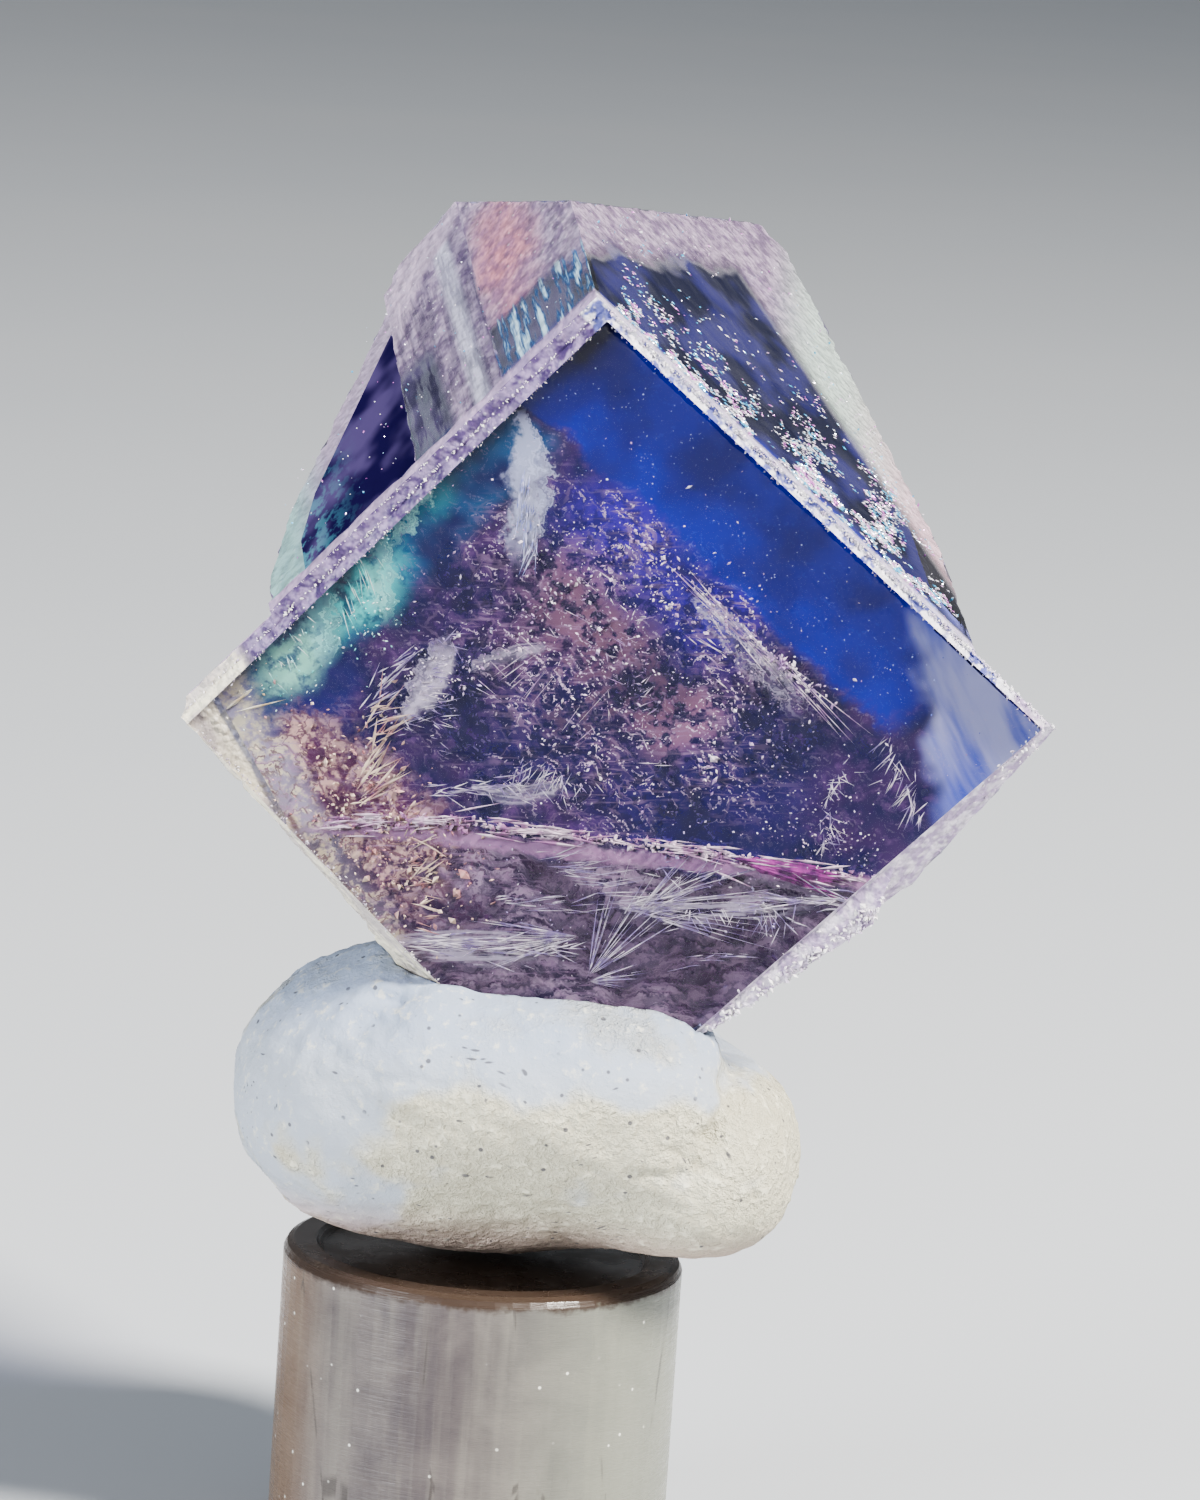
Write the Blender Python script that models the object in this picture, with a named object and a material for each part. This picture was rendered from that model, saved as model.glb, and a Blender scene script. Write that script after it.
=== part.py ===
"""A cleaved fluorite crystal pressed in a blob of mineral putty on a round display post.

Units are metres, +Z is up, and the origin is the centre of the post's flat foot.
The crystal is built in its own axes, in millimetres from its top front corner:
P runs down and to the right along the front face, Q down and to the left, R straight back.
"""

import math

import bmesh
import bpy
from mathutils import Matrix, Vector

MM = 0.001

POST_RADIUS = 5.0
POST_HEIGHT = 7.7
POST_EDGE = 0.25
POST_DISH_RADIUS = 4.2
POST_DISH_DEPTH = 0.2
POST_SEGMENTS = 72

CRYSTAL_TOP = Vector((1.3, -8.2, 32.5))
FRONT_OVERHANG = math.radians(13.0)
FRONT_TURN = math.radians(4.2)
SIDE_P = 15.6
SIDE_Q = 14.45
LEDGE_START = 0.12
PLATE_DEPTH = 2.6
ROUGH_BLOCK = 80.0

STEP_NEAR_END = 0.47
STEP_FAR_END = 16.5
STEP_LOW_END = 14.0
STEP_CLEARANCE = 3.0
CHIP_TURN = 1.7
CHIP_STRETCH = (1.3, 0.8, 1.0, 1.0)

GAP = 0.3
PUTTY_FLOOR = POST_HEIGHT + GAP
PUTTY_CENTRE = Vector((0.4, -0.4, 11.6))
PUTTY_RINGS = 36
PUTTY_SEGMENTS = 60
PUTTY_BLEND = 0.55
PUTTY_NEAREST = 0.5
PUTTY_FARTHEST = 12.0
PUTTY_HALVINGS = 26

# Each face of the deep body is (P, Q, R) weights and the value that they may not pass
BODY_FACES = {
    "behind_front": ((0.0, 0.0, -1.0), -LEDGE_START),
    "upper_right": ((0.0, -1.0, -0.035), 0.0),
    "upper_left": ((-1.0, 0.0, -0.268), 0.0),
    "top_rear": ((-1.0, -1.10, 0.54), 3.75),
    "right_flank_near": ((1.0, -0.5, 0.27), 12.55),
    "right_flank_far": ((1.0, -0.4, 0.54), 13.75),
    "left_flank_near": ((-0.6, 1.0, -0.1), 11.1),
    "left_flank_mid": ((-0.5, 1.0, 0.446), 12.3),
    "left_flank_far": ((-0.5, 1.0, 0.9), 14.1),
    "peak_bevel": ((-0.8, 0.15, 0.9), 10.4),
    "rear_tip": ((0.1, -0.1, 1.0), 15.1),
    "lower_left_flare": ((-0.078, 1.0, -0.8), SIDE_Q),
    "lower_left": ((-0.15, 1.0, 0.1), SIDE_Q + 0.3),
    "lower_right": ((1.0, -0.08, -0.1), SIDE_P),
    "lower_right_bend": ((1.0, 0.17, 0.0), SIDE_P + 1.4),
    "foot": ((1.0, 1.0, 0.15), 28.0),
}

# The front is a thin plate whose left and right corners reach past the deep body
PLATE_FACES = {
    "front": ((0.0, 0.0, -1.0), 0.0),
    "upper_right": ((0.0, -1.0, 0.3), 0.0),
    "upper_left": ((-1.0, 0.0, 0.3), 0.0),
    "upper_left_bevel": ((-1.0, 0.0, -1.7), -0.55),
    "upper_right_bevel": ((0.0, -1.0, -1.2), -0.25),
    "top_corner": ((-1.0, -1.0, -0.6), -0.5),
    "right_undercut": ((0.46, -0.2, 1.0), SIDE_P * 0.46 + 0.15),
    "left_undercut": ((-0.12, 0.35, 1.0), SIDE_Q * 0.35 + 0.15),
    "lower_left_flare": ((-0.078, 1.0, -0.8), SIDE_Q),
    "lower_left": ((-0.15, 1.0, 0.1), SIDE_Q + 0.3),
    "lower_right": ((1.0, -0.08, -0.1), SIDE_P),
    "lower_right_bend": ((1.0, 0.17, 0.0), SIDE_P + 1.4),
    "lower_right_rim": ((1.0, 0.02, -1.1), SIDE_P - 0.6),
    "foot": ((1.0, 1.0, 0.15), 28.0),
    "back": ((0.0, 0.0, 1.0), PLATE_DEPTH),
}

# Steps in the upper left side: each lowers what lies past its edge
SIDE_STEPS = (
    {"start": ((0.0, -1.0, -0.02), -3.15), "depth": 0.18},
    {"start": ((0.0, -1.0, -0.05), -6.2), "depth": 0.5},
)

# Chips broken from the edges: centre in P, Q, R and size, all in millimetres
CHIPS = (
    ((15.95, 7.45, 0.1), 1.1),
    ((16.3, 3.6, 0.0), 0.6),
    ((15.85, 9.3, 0.2), 0.7),
    ((16.25, 5.4, 0.1), 0.6),
    ((2.9, -0.65, 11.5), 0.6),
    ((9.9, -0.45, 7.4), 0.6),
    ((11.8, -0.35, 4.3), 0.7),
    ((3.6, 15.4, 0.5), 0.6),
    ((7.2, 16.0, 0.8), 0.7),
    ((-2.5, 4.4, 9.5), 0.8),
    ((-2.0, 7.4, 6.5), 0.6),
)

# Lumps that flow together into the putty: centre and radii in millimetres
PUTTY_LUMPS = (
    ((0.3, 0.4, 11.2), (6.0, 4.9, 3.6)),
    ((-3.0, -1.0, 11.9), (3.4, 3.9, 3.3)),
    ((-1.7, -2.2, 13.9), (2.0, 2.5, 1.9)),
    ((5.2, -1.2, 10.9), (2.4, 3.1, 2.3)),
    ((1.2, -3.9, 12.8), (4.0, 2.1, 2.2)),
    ((3.7, -3.0, 12.9), (1.6, 1.9, 2.0)),
    ((1.6, 4.0, 12.7), (3.6, 2.6, 3.1)),
    ((5.1, -2.9, 10.4), (1.8, 1.9, 1.5)),
)


def clear_scene():
    for obj in list(bpy.data.objects):
        bpy.data.objects.remove(obj, do_unlink=True)


def make_material(name, colour, roughness, metallic=0.0):
    material = bpy.data.materials.new(name)
    material.use_nodes = True
    shader = material.node_tree.nodes["Principled BSDF"]
    shader.inputs["Base Color"].default_value = (*colour, 1.0)
    shader.inputs["Roughness"].default_value = roughness
    shader.inputs["Metallic"].default_value = metallic
    return material


def crystal_axes():
    """The crystal's P, Q and R directions in the part's own axes."""
    back = Vector((0.0, math.cos(FRONT_OVERHANG), math.sin(FRONT_OVERHANG)))
    side = Vector((1.0, 0.0, 0.0))
    down = back.cross(side)
    if down.z > 0:
        down = -down
    middle = down * math.cos(FRONT_TURN) + side * math.sin(FRONT_TURN)
    across = side * math.cos(FRONT_TURN) - down * math.sin(FRONT_TURN)
    return (middle + across) / math.sqrt(2), (middle - across) / math.sqrt(2), back


def crystal_matrix():
    """Turns P, Q, R in millimetres into metres in the part's frame."""
    p_axis, q_axis, r_axis = crystal_axes()
    rotation = Matrix((p_axis, q_axis, r_axis)).transposed().to_4x4()
    return Matrix.Scale(MM, 4) @ Matrix.Translation(CRYSTAL_TOP) @ rotation


def convex_from_faces(faces, grow=0.0):
    """A closed convex body cut from a block by the planes, each moved out by grow."""
    body = bmesh.new()
    bmesh.ops.create_cube(body, size=ROUGH_BLOCK)
    for weights, limit in faces:
        normal = Vector(weights)
        offset = limit / normal.length + grow
        normal.normalize()
        geometry = body.verts[:] + body.edges[:] + body.faces[:]
        cut = bmesh.ops.bisect_plane(
            body, geom=geometry, dist=1e-5, plane_co=normal * offset, plane_no=normal, clear_outer=True
        )
        rim = [item for item in cut["geom_cut"] if isinstance(item, bmesh.types.BMEdge)]
        if rim:
            bmesh.ops.contextual_create(body, geom=rim)
    bmesh.ops.recalc_face_normals(body, faces=body.faces[:])
    return body


def object_from_bmesh(name, body, matrix=None):
    if matrix is not None:
        body.transform(matrix)
    mesh = bpy.data.meshes.new(name)
    body.to_mesh(mesh)
    body.free()
    obj = bpy.data.objects.new(name, mesh)
    bpy.context.scene.collection.objects.link(obj)
    return obj


def add_boolean(obj, other, operation):
    modifier = obj.modifiers.new(operation.title() + "_" + other.name, "BOOLEAN")
    modifier.object = other
    modifier.operation = operation
    modifier.solver = "EXACT"


def hide_helper(obj):
    obj.hide_render = True
    obj.display_type = "WIRE"


def step_cutter(index, step):
    """A slab that lowers the upper left side past a step's edge."""
    side_weights, side_limit = BODY_FACES["upper_left"]
    lowered = side_limit - step["depth"]
    faces = [
        (tuple(-weight for weight in side_weights), -lowered),
        (side_weights, side_limit + STEP_CLEARANCE),
        step["start"],
        ((0.0, 1.0, 0.0), STEP_LOW_END),
        ((0.0, 0.0, -1.0), -STEP_NEAR_END),
        ((0.0, 0.0, 1.0), STEP_FAR_END),
    ]
    cutter = object_from_bmesh(f"side_step_{index}", convex_from_faces(faces), crystal_matrix())
    hide_helper(cutter)
    return cutter


def chip_cutter(index, centre, size):
    """A small crooked block, turned a different way for each chip."""
    chip = bmesh.new()
    bmesh.ops.create_cube(chip, size=size)
    turn = Matrix.Rotation(CHIP_TURN * index, 4, Vector((0.3, 0.5, 0.8)))
    chip.transform(Matrix.Translation(Vector(centre)) @ turn @ Matrix.Diagonal(CHIP_STRETCH))
    cutter = object_from_bmesh(f"edge_chip_{index}", chip, crystal_matrix())
    hide_helper(cutter)
    return cutter


def build_crystal():
    """The crystal: a deep body, the wider front plate, side steps and chipped edges."""
    matrix = crystal_matrix()
    crystal = object_from_bmesh("fluorite_crystal", convex_from_faces(BODY_FACES.values()), matrix)
    plate = object_from_bmesh("front_plate", convex_from_faces(PLATE_FACES.values()), matrix)
    hide_helper(plate)
    add_boolean(crystal, plate, "UNION")
    for index, step in enumerate(SIDE_STEPS):
        add_boolean(crystal, step_cutter(index, step), "DIFFERENCE")
    for index, (centre, size) in enumerate(CHIPS):
        add_boolean(crystal, chip_cutter(index, centre, size), "DIFFERENCE")
    crystal.data.materials.append(make_material("fluorite_blue_violet", (0.12, 0.09, 0.45), 0.08))
    return crystal


def lump_distance(point, centre, radii):
    offset = point - Vector(centre)
    scaled = Vector((offset.x / radii[0], offset.y / radii[1], offset.z / radii[2]))
    return (scaled.length - 1.0) * min(radii)


def putty_distance(point):
    """Signed distance to the lumps after they have flowed into each other."""
    total = sum(math.exp(-lump_distance(point, *lump) / PUTTY_BLEND) for lump in PUTTY_LUMPS)
    return -PUTTY_BLEND * math.log(total)


def putty_reach(direction):
    """How far the putty's skin lies from its centre in one direction."""
    near, far = PUTTY_NEAREST, PUTTY_FARTHEST
    for _ in range(PUTTY_HALVINGS):
        middle = (near + far) / 2
        if putty_distance(PUTTY_CENTRE + direction * middle) < 0:
            near = middle
        else:
            far = middle
    return near


def build_putty():
    """The putty: one lumpy skin, flat on the post and pressed in by the crystal's foot."""
    skin = bmesh.new()
    bmesh.ops.create_uvsphere(skin, u_segments=PUTTY_SEGMENTS, v_segments=PUTTY_RINGS, radius=1.0)
    for vertex in skin.verts:
        direction = vertex.co.normalized()
        point = PUTTY_CENTRE + direction * putty_reach(direction)
        point.z = max(point.z, PUTTY_FLOOR)
        vertex.co = point * MM
    bmesh.ops.remove_doubles(skin, verts=skin.verts[:], dist=0.00001)
    flatten_underside(skin)
    putty = object_from_bmesh("mineral_putty", skin)
    for name, faces in (("body_seat", BODY_FACES), ("plate_seat", PLATE_FACES)):
        seat = object_from_bmesh(name, convex_from_faces(faces.values(), grow=GAP), crystal_matrix())
        hide_helper(seat)
        add_boolean(putty, seat, "DIFFERENCE")
    putty.data.materials.append(make_material("putty_cream", (0.84, 0.82, 0.72), 0.75))
    for polygon in putty.data.polygons:
        polygon.use_smooth = True
    return putty


def flatten_underside(skin):
    """Makes the faces that lie on the post's level one flat face."""
    level = PUTTY_FLOOR * MM
    flat = [face for face in skin.faces if all(abs(vertex.co.z - level) < 1e-7 for vertex in face.verts)]
    bmesh.ops.dissolve_faces(skin, faces=flat)


def build_post():
    """The post: a turned rod with a softened rim and a shallow dish in its top."""
    profile = (
        (0.0, 0.0),
        (POST_RADIUS - POST_EDGE, 0.0),
        (POST_RADIUS, POST_EDGE),
        (POST_RADIUS, POST_HEIGHT - POST_EDGE),
        (POST_RADIUS - POST_EDGE / 3, POST_HEIGHT - POST_EDGE / 3),
        (POST_RADIUS - POST_EDGE, POST_HEIGHT),
        (POST_DISH_RADIUS, POST_HEIGHT),
        (POST_DISH_RADIUS - POST_DISH_DEPTH, POST_HEIGHT - POST_DISH_DEPTH),
        (0.0, POST_HEIGHT - POST_DISH_DEPTH),
    )
    rod = bmesh.new()
    points = [rod.verts.new((radius * MM, 0.0, height * MM)) for radius, height in profile]
    edges = [rod.edges.new(pair) for pair in zip(points, points[1:])]
    bmesh.ops.spin(
        rod,
        geom=points + edges,
        cent=(0.0, 0.0, 0.0),
        axis=(0.0, 0.0, 1.0),
        angle=math.tau,
        steps=POST_SEGMENTS,
    )
    bmesh.ops.remove_doubles(rod, verts=rod.verts[:], dist=0.000001)
    bmesh.ops.recalc_face_normals(rod, faces=rod.faces[:])
    post = object_from_bmesh("display_post", rod)
    post.data.shade_smooth()
    post.data.set_sharp_from_angle(angle=math.radians(35.0))
    post.data.materials.append(make_material("post_cloudy_resin", (0.55, 0.52, 0.46), 0.35))
    return post


def main():
    clear_scene()
    build_post()
    build_putty()
    build_crystal()


main()
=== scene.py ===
"""Looks of the fluorite crystal on its putty and post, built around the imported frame.

Sizes are in millimetres until a mesh is finished, which then goes to metres.
The crystal's own axes start at its top front corner: P runs down and to the right
along the front face, Q down and to the left, and R straight back into the crystal.
"""

import math
import random

import bmesh
import bpy
from mathutils import Matrix, Vector, noise


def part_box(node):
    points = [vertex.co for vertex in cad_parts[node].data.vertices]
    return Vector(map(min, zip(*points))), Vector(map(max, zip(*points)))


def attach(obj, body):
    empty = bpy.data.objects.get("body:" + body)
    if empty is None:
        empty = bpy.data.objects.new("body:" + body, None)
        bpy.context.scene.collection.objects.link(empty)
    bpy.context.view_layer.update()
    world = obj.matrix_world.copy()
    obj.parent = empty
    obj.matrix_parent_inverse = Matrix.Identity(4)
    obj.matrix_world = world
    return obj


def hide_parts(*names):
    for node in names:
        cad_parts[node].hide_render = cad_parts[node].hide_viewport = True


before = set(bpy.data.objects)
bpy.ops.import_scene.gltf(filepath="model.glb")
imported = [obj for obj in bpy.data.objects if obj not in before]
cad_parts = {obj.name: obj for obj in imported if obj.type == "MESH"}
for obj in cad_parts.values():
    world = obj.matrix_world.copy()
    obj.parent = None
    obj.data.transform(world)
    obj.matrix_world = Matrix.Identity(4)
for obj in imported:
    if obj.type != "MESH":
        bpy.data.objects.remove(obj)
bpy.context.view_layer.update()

MM = 0.001
ROUGH_BLOCK = 80.0

CRYSTAL_TOP = Vector((1.3, -8.2, 32.5))
FRONT_OVERHANG = math.radians(13.0)
FRONT_TURN = math.radians(4.2)
SIDE_P = 15.6
SIDE_Q = 14.45
LEDGE_START = 0.12
PLATE_DEPTH = 2.6

POST_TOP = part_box("display_post")[1][2] / MM

# How far the upper faces lean in or out per millimetre behind the front
LEFT_SLOPE = 0.268
RIGHT_SLOPE = 0.035

# Faces of the crystal as P, Q, R weights with the value that they may not pass
BODY_FACES = {
    "behind_front": ((0.0, 0.0, -1.0), -LEDGE_START),
    "upper_right": ((0.0, -1.0, -RIGHT_SLOPE), 0.0),
    "upper_left": ((-1.0, 0.0, -LEFT_SLOPE), 0.0),
    "top_rear": ((-1.0, -1.10, 0.54), 3.75),
    "right_flank_near": ((1.0, -0.5, 0.27), 12.55),
    "right_flank_far": ((1.0, -0.4, 0.54), 13.75),
    "left_flank_near": ((-0.6, 1.0, -0.1), 11.1),
    "left_flank_mid": ((-0.5, 1.0, 0.446), 12.3),
    "left_flank_far": ((-0.5, 1.0, 0.9), 14.1),
    "peak_bevel": ((-0.8, 0.15, 0.9), 10.4),
    "rear_tip": ((0.1, -0.1, 1.0), 15.1),
    "lower_left_flare": ((-0.078, 1.0, -0.8), SIDE_Q),
    "lower_left": ((-0.15, 1.0, 0.1), SIDE_Q + 0.3),
    "lower_right": ((1.0, -0.08, -0.1), SIDE_P),
    "lower_right_bend": ((1.0, 0.17, 0.0), SIDE_P + 1.4),
    "foot": ((1.0, 1.0, 0.15), 28.0),
}
PLATE_FACES = {
    "front": ((0.0, 0.0, -1.0), 0.0),
    "upper_right": ((0.0, -1.0, 0.3), 0.0),
    "upper_left": ((-1.0, 0.0, 0.3), 0.0),
    "upper_left_bevel": ((-1.0, 0.0, -1.7), -0.55),
    "upper_right_bevel": ((0.0, -1.0, -1.2), -0.25),
    "top_corner": ((-1.0, -1.0, -0.6), -0.5),
    "right_undercut": ((0.46, -0.2, 1.0), SIDE_P * 0.46 + 0.15),
    "left_undercut": ((-0.12, 0.35, 1.0), SIDE_Q * 0.35 + 0.15),
    "lower_left_flare": ((-0.078, 1.0, -0.8), SIDE_Q),
    "lower_left": ((-0.15, 1.0, 0.1), SIDE_Q + 0.3),
    "lower_right": ((1.0, -0.08, -0.1), SIDE_P),
    "lower_right_bend": ((1.0, 0.17, 0.0), SIDE_P + 1.4),
    "lower_right_rim": ((1.0, 0.02, -1.1), SIDE_P - 0.6),
    "foot": ((1.0, 1.0, 0.15), 28.0),
    "back": ((0.0, 0.0, 1.0), PLATE_DEPTH),
}
STEP_CLEARANCE = 3.0
STEP_LOW_END = 14.0
STEP_NEAR_END = 0.47
STEP_FAR_END = 16.5
SIDE_STEPS = (
    {"start": ((0.0, -1.0, -0.02), -3.15), "depth": 0.18},
    {"start": ((0.0, -1.0, -0.05), -6.2), "depth": 0.5},
)

# Camera: looks along +Y from 10 degrees above, rolled so that the post leans as in the photo
CAMERA_TARGET = Vector((2.06, 0.0, 20.5))
CAMERA_DISTANCE = 154.3
CAMERA_ELEVATION = math.radians(10.0)
CAMERA_ROLL = math.radians(3.9)
CAMERA_LENS = 150.0
SENSOR_LONG_SIDE = 36.0


def crystal_axes():
    """The crystal's P, Q and R directions in the part's own axes."""
    back = Vector((0.0, math.cos(FRONT_OVERHANG), math.sin(FRONT_OVERHANG)))
    side = Vector((1.0, 0.0, 0.0))
    down = back.cross(side)
    if down.z > 0:
        down = -down
    middle = down * math.cos(FRONT_TURN) + side * math.sin(FRONT_TURN)
    across = side * math.cos(FRONT_TURN) - down * math.sin(FRONT_TURN)
    return (middle + across) / math.sqrt(2), (middle - across) / math.sqrt(2), back


P_AXIS, Q_AXIS, R_AXIS = crystal_axes()
CRYSTAL_TURN = Matrix((P_AXIS, Q_AXIS, R_AXIS)).transposed().to_4x4()
CRYSTAL_PLACE = Matrix.Scale(MM, 4) @ Matrix.Translation(CRYSTAL_TOP) @ CRYSTAL_TURN


def convex_from_faces(faces, grow=0.0):
    """A closed convex body cut from a block by the planes, each moved out by grow."""
    body = bmesh.new()
    bmesh.ops.create_cube(body, size=ROUGH_BLOCK)
    for weights, limit in faces:
        normal = Vector(weights)
        offset = limit / normal.length + grow
        normal.normalize()
        geometry = body.verts[:] + body.edges[:] + body.faces[:]
        cut = bmesh.ops.bisect_plane(
            body, geom=geometry, dist=1e-5, plane_co=normal * offset, plane_no=normal, clear_outer=True
        )
        rim = [item for item in cut["geom_cut"] if isinstance(item, bmesh.types.BMEdge)]
        if rim:
            bmesh.ops.contextual_create(body, geom=rim)
    bmesh.ops.recalc_face_normals(body, faces=body.faces[:])
    return body


def object_from_bmesh(name, body, matrix=None, materials=()):
    if matrix is not None:
        body.transform(matrix)
    mesh = bpy.data.meshes.new(name)
    body.to_mesh(mesh)
    body.free()
    obj = bpy.data.objects.new(name, mesh)
    bpy.context.scene.collection.objects.link(obj)
    for material in materials:
        mesh.materials.append(material)
    return obj


def apply_boolean(obj, other, operation):
    """Cuts or joins with another object, keeps the result and removes the other."""
    modifier = obj.modifiers.new(operation.title(), "BOOLEAN")
    modifier.object = other
    modifier.operation = operation
    modifier.solver = "EXACT"
    graph = bpy.context.evaluated_depsgraph_get()
    result = bpy.data.meshes.new_from_object(obj.evaluated_get(graph))
    obj.modifiers.clear()
    obj.data = result
    bpy.data.objects.remove(other, do_unlink=True)


def part_piece(obj, slot, *replaced):
    """Hangs a finished piece on the part."""
    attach(obj, "root")
    if replaced:
        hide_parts(*replaced)


class Shader:
    """A material being wired: short calls for nodes, values and links."""

    def __init__(self, name):
        self.material = bpy.data.materials.new(name)
        self.material.use_nodes = True
        self.tree = self.material.node_tree
        self.tree.nodes.clear()
        self.output = self.tree.nodes.new("ShaderNodeOutputMaterial")

    def node(self, kind, settings=None, **inputs):
        node = self.tree.nodes.new("ShaderNode" + kind)
        for key, value in (settings or {}).items():
            setattr(node, key, value)
        for key, value in inputs.items():
            self.set(node.inputs[int(key[1:]) if key[0] == "i" and key[1:].isdigit() else key], value)
        return node

    def set(self, socket, value):
        if isinstance(value, bpy.types.NodeSocket):
            self.tree.links.new(value, socket)
        elif hasattr(socket.default_value, "__len__") and len(socket.default_value) == 4:
            socket.default_value = (*value[:3], 1.0)
        else:
            socket.default_value = value

    def named(self, kind, settings, inputs):
        node = self.node(kind, settings)
        for key, value in inputs.items():
            self.set(node.inputs[key], value)
        return node

    def math(self, operation, first, second=0.0, third=0.0, clamp=False):
        node = self.node("Math", {"operation": operation, "use_clamp": clamp}, i0=first, i1=second, i2=third)
        return node.outputs[0]

    def joined(self, operation, values):
        result = values[0]
        for value in values[1:]:
            result = self.math(operation, result, value)
        return result

    def times(self, *values):
        return self.joined("MULTIPLY", values)

    def most(self, *values):
        return self.joined("MAXIMUM", values)

    def plus(self, first, second):
        return self.math("ADD", first, second)

    def minus(self, first, second, clamp=False):
        return self.math("SUBTRACT", first, second, clamp=clamp)

    def fused(self, value, factor, extra):
        """The value times the factor, plus the extra."""
        return self.math("MULTIPLY_ADD", value, factor, extra)

    def mix(self, factor, first, second):
        node = self.node("Mix", {"data_type": "RGBA"})
        self.set(node.inputs[0], factor)
        self.set(node.inputs[6], first)
        self.set(node.inputs[7], second)
        return node.outputs[2]

    def layered(self, colour, *layers):
        """The colour under layers, each given as how much it covers and its own colour."""
        for cover, layer in layers:
            colour = self.mix(cover, colour, layer)
        return colour

    def place(self):
        """The place on the object in millimetres."""
        spot = self.node("TexCoord")
        scaled = self.node("VectorMath", {"operation": "SCALE"})
        self.set(scaled.inputs[0], spot.outputs["Object"])
        self.set(scaled.inputs[3], 1.0 / MM)
        return scaled.outputs[0]

    def along(self, place, axis, start=None):
        """How far the place lies along an axis from a start point."""
        if start is not None:
            shifted = self.node("VectorMath", {"operation": "SUBTRACT"}, i0=place)
            shifted.inputs[1].default_value = start
            place = shifted.outputs[0]
        dot = self.node("VectorMath", {"operation": "DOT_PRODUCT"}, i0=place)
        dot.inputs[1].default_value = axis
        return dot.outputs["Value"]

    def noise(self, place, scale, detail=3.0, roughness=0.55, distortion=0.0):
        inputs = {"Vector": place, "Scale": scale, "Detail": detail, "Roughness": roughness}
        inputs["Distortion"] = distortion
        return self.named("TexNoise", {}, inputs).outputs["Fac"]

    def swirl(self, place, scale):
        """A wandering direction at each place."""
        return self.named("TexNoise", {}, {"Vector": place, "Scale": scale, "Detail": 1.0}).outputs["Color"]

    def cells(self, place, scale, feature="F1"):
        inputs = {"Vector": place, "Scale": scale}
        return self.named("TexVoronoi", {"feature": feature}, inputs).outputs["Distance"]

    def flat(self, first, second):
        """A two-part place for patterns that lie on a plane."""
        node = self.node("CombineXYZ", None, i0=first, i1=second)
        return node.outputs[0]

    def flat_noise(self, place, scale, detail=2.0, roughness=0.6):
        inputs = {"Vector": place, "Scale": scale, "Detail": detail, "Roughness": roughness}
        return self.named("TexNoise", {"noise_dimensions": "2D"}, inputs).outputs["Fac"]

    def flat_cells(self, place, scale, feature="F1"):
        inputs = {"Vector": place, "Scale": scale}
        node = self.named("TexVoronoi", {"voronoi_dimensions": "2D", "feature": feature}, inputs)
        return node.outputs["Distance"], node.outputs.get("Color")

    def ramp(self, value, low, high, start=0.0, end=1.0, smooth=True):
        """Maps low..high to start..end and holds beyond."""
        settings = {"interpolation_type": "SMOOTHSTEP" if smooth else "LINEAR"}
        return self.node("MapRange", settings, i0=value, i1=low, i2=high, i3=start, i4=end).outputs[0]

    def bump(self, height, distance, strength=1.0):
        inputs = {"Height": height, "Distance": distance * MM, "Strength": strength}
        return self.named("Bump", {}, inputs).outputs[0]

    def principled(self, **inputs):
        named = {key.replace("_", " "): value for key, value in inputs.items()}
        return self.named("BsdfPrincipled", {}, named)

    def finish(self, surface, clear_for_lamps=None, absorb=None):
        """Wires the surface, lets lamps through where asked, and fills with an absorbing colour."""
        result = surface.outputs[0]
        if clear_for_lamps is not None:
            light_path = self.node("LightPath")
            open_side = self.node("BsdfTransparent", None, i0=clear_for_lamps)
            mixer = self.node("MixShader", None, i0=light_path.outputs["Is Shadow Ray"])
            self.tree.links.new(result, mixer.inputs[1])
            self.tree.links.new(open_side.outputs[0], mixer.inputs[2])
            result = mixer.outputs[0]
        self.tree.links.new(result, self.output.inputs["Surface"])
        if absorb is not None:
            colour, density = absorb
            volume = self.named("VolumeAbsorption", {}, {"Color": colour, "Density": density})
            self.tree.links.new(volume.outputs[0], self.output.inputs["Volume"])
        return self.material


FLUORITE_IOR = 1.434
LAMP_TINT = (0.95, 0.95, 0.98)
BODY_ABSORB = ((0.62, 0.52, 0.82), 40.0)

# How far a spot on the front face seems to slide per millimetre of depth behind it
DEPTH_SLIDE_P = 0.185
DEPTH_SLIDE_Q = 0.214


def srgb(red, green, blue):
    """A colour given on a 0 to 255 scale, as linear light."""
    parts = (value / 255.0 for value in (red, green, blue))
    return tuple(part / 12.92 if part <= 0.04045 else ((part + 0.055) / 1.055) ** 2.4 for part in parts)


def seen_at(p, q, depth):
    """The place at a depth that is seen through the spot p, q on the front face."""
    return Vector((p + DEPTH_SLIDE_P * depth, q + DEPTH_SLIDE_Q * depth, depth))


def inset(faces, common, special=None):
    """The same faces moved inward, by the common depth or by one given for the face's name."""
    depths = special or {}
    moved = []
    for name, (weights, limit) in faces.items():
        moved.append((weights, limit - depths.get(name, common) * Vector(weights).length))
    return moved


def unit_planes(faces):
    """Each face as a unit normal and its distance from the crystal's corner."""
    sides = ((Vector(weights), limit) for weights, limit in faces.values())
    return [(side.normalized(), limit / side.length) for side, limit in sides]


BODY_PLANES = unit_planes(BODY_FACES)
PLATE_PLANES = unit_planes(PLATE_FACES)


def inside(point, margin):
    """Whether a place lies within the body or the front plate, this far from their faces."""
    for planes in (BODY_PLANES, PLATE_PLANES):
        if all(normal.dot(point) <= limit - margin for normal, limit in planes):
            return True
    return False


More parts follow.
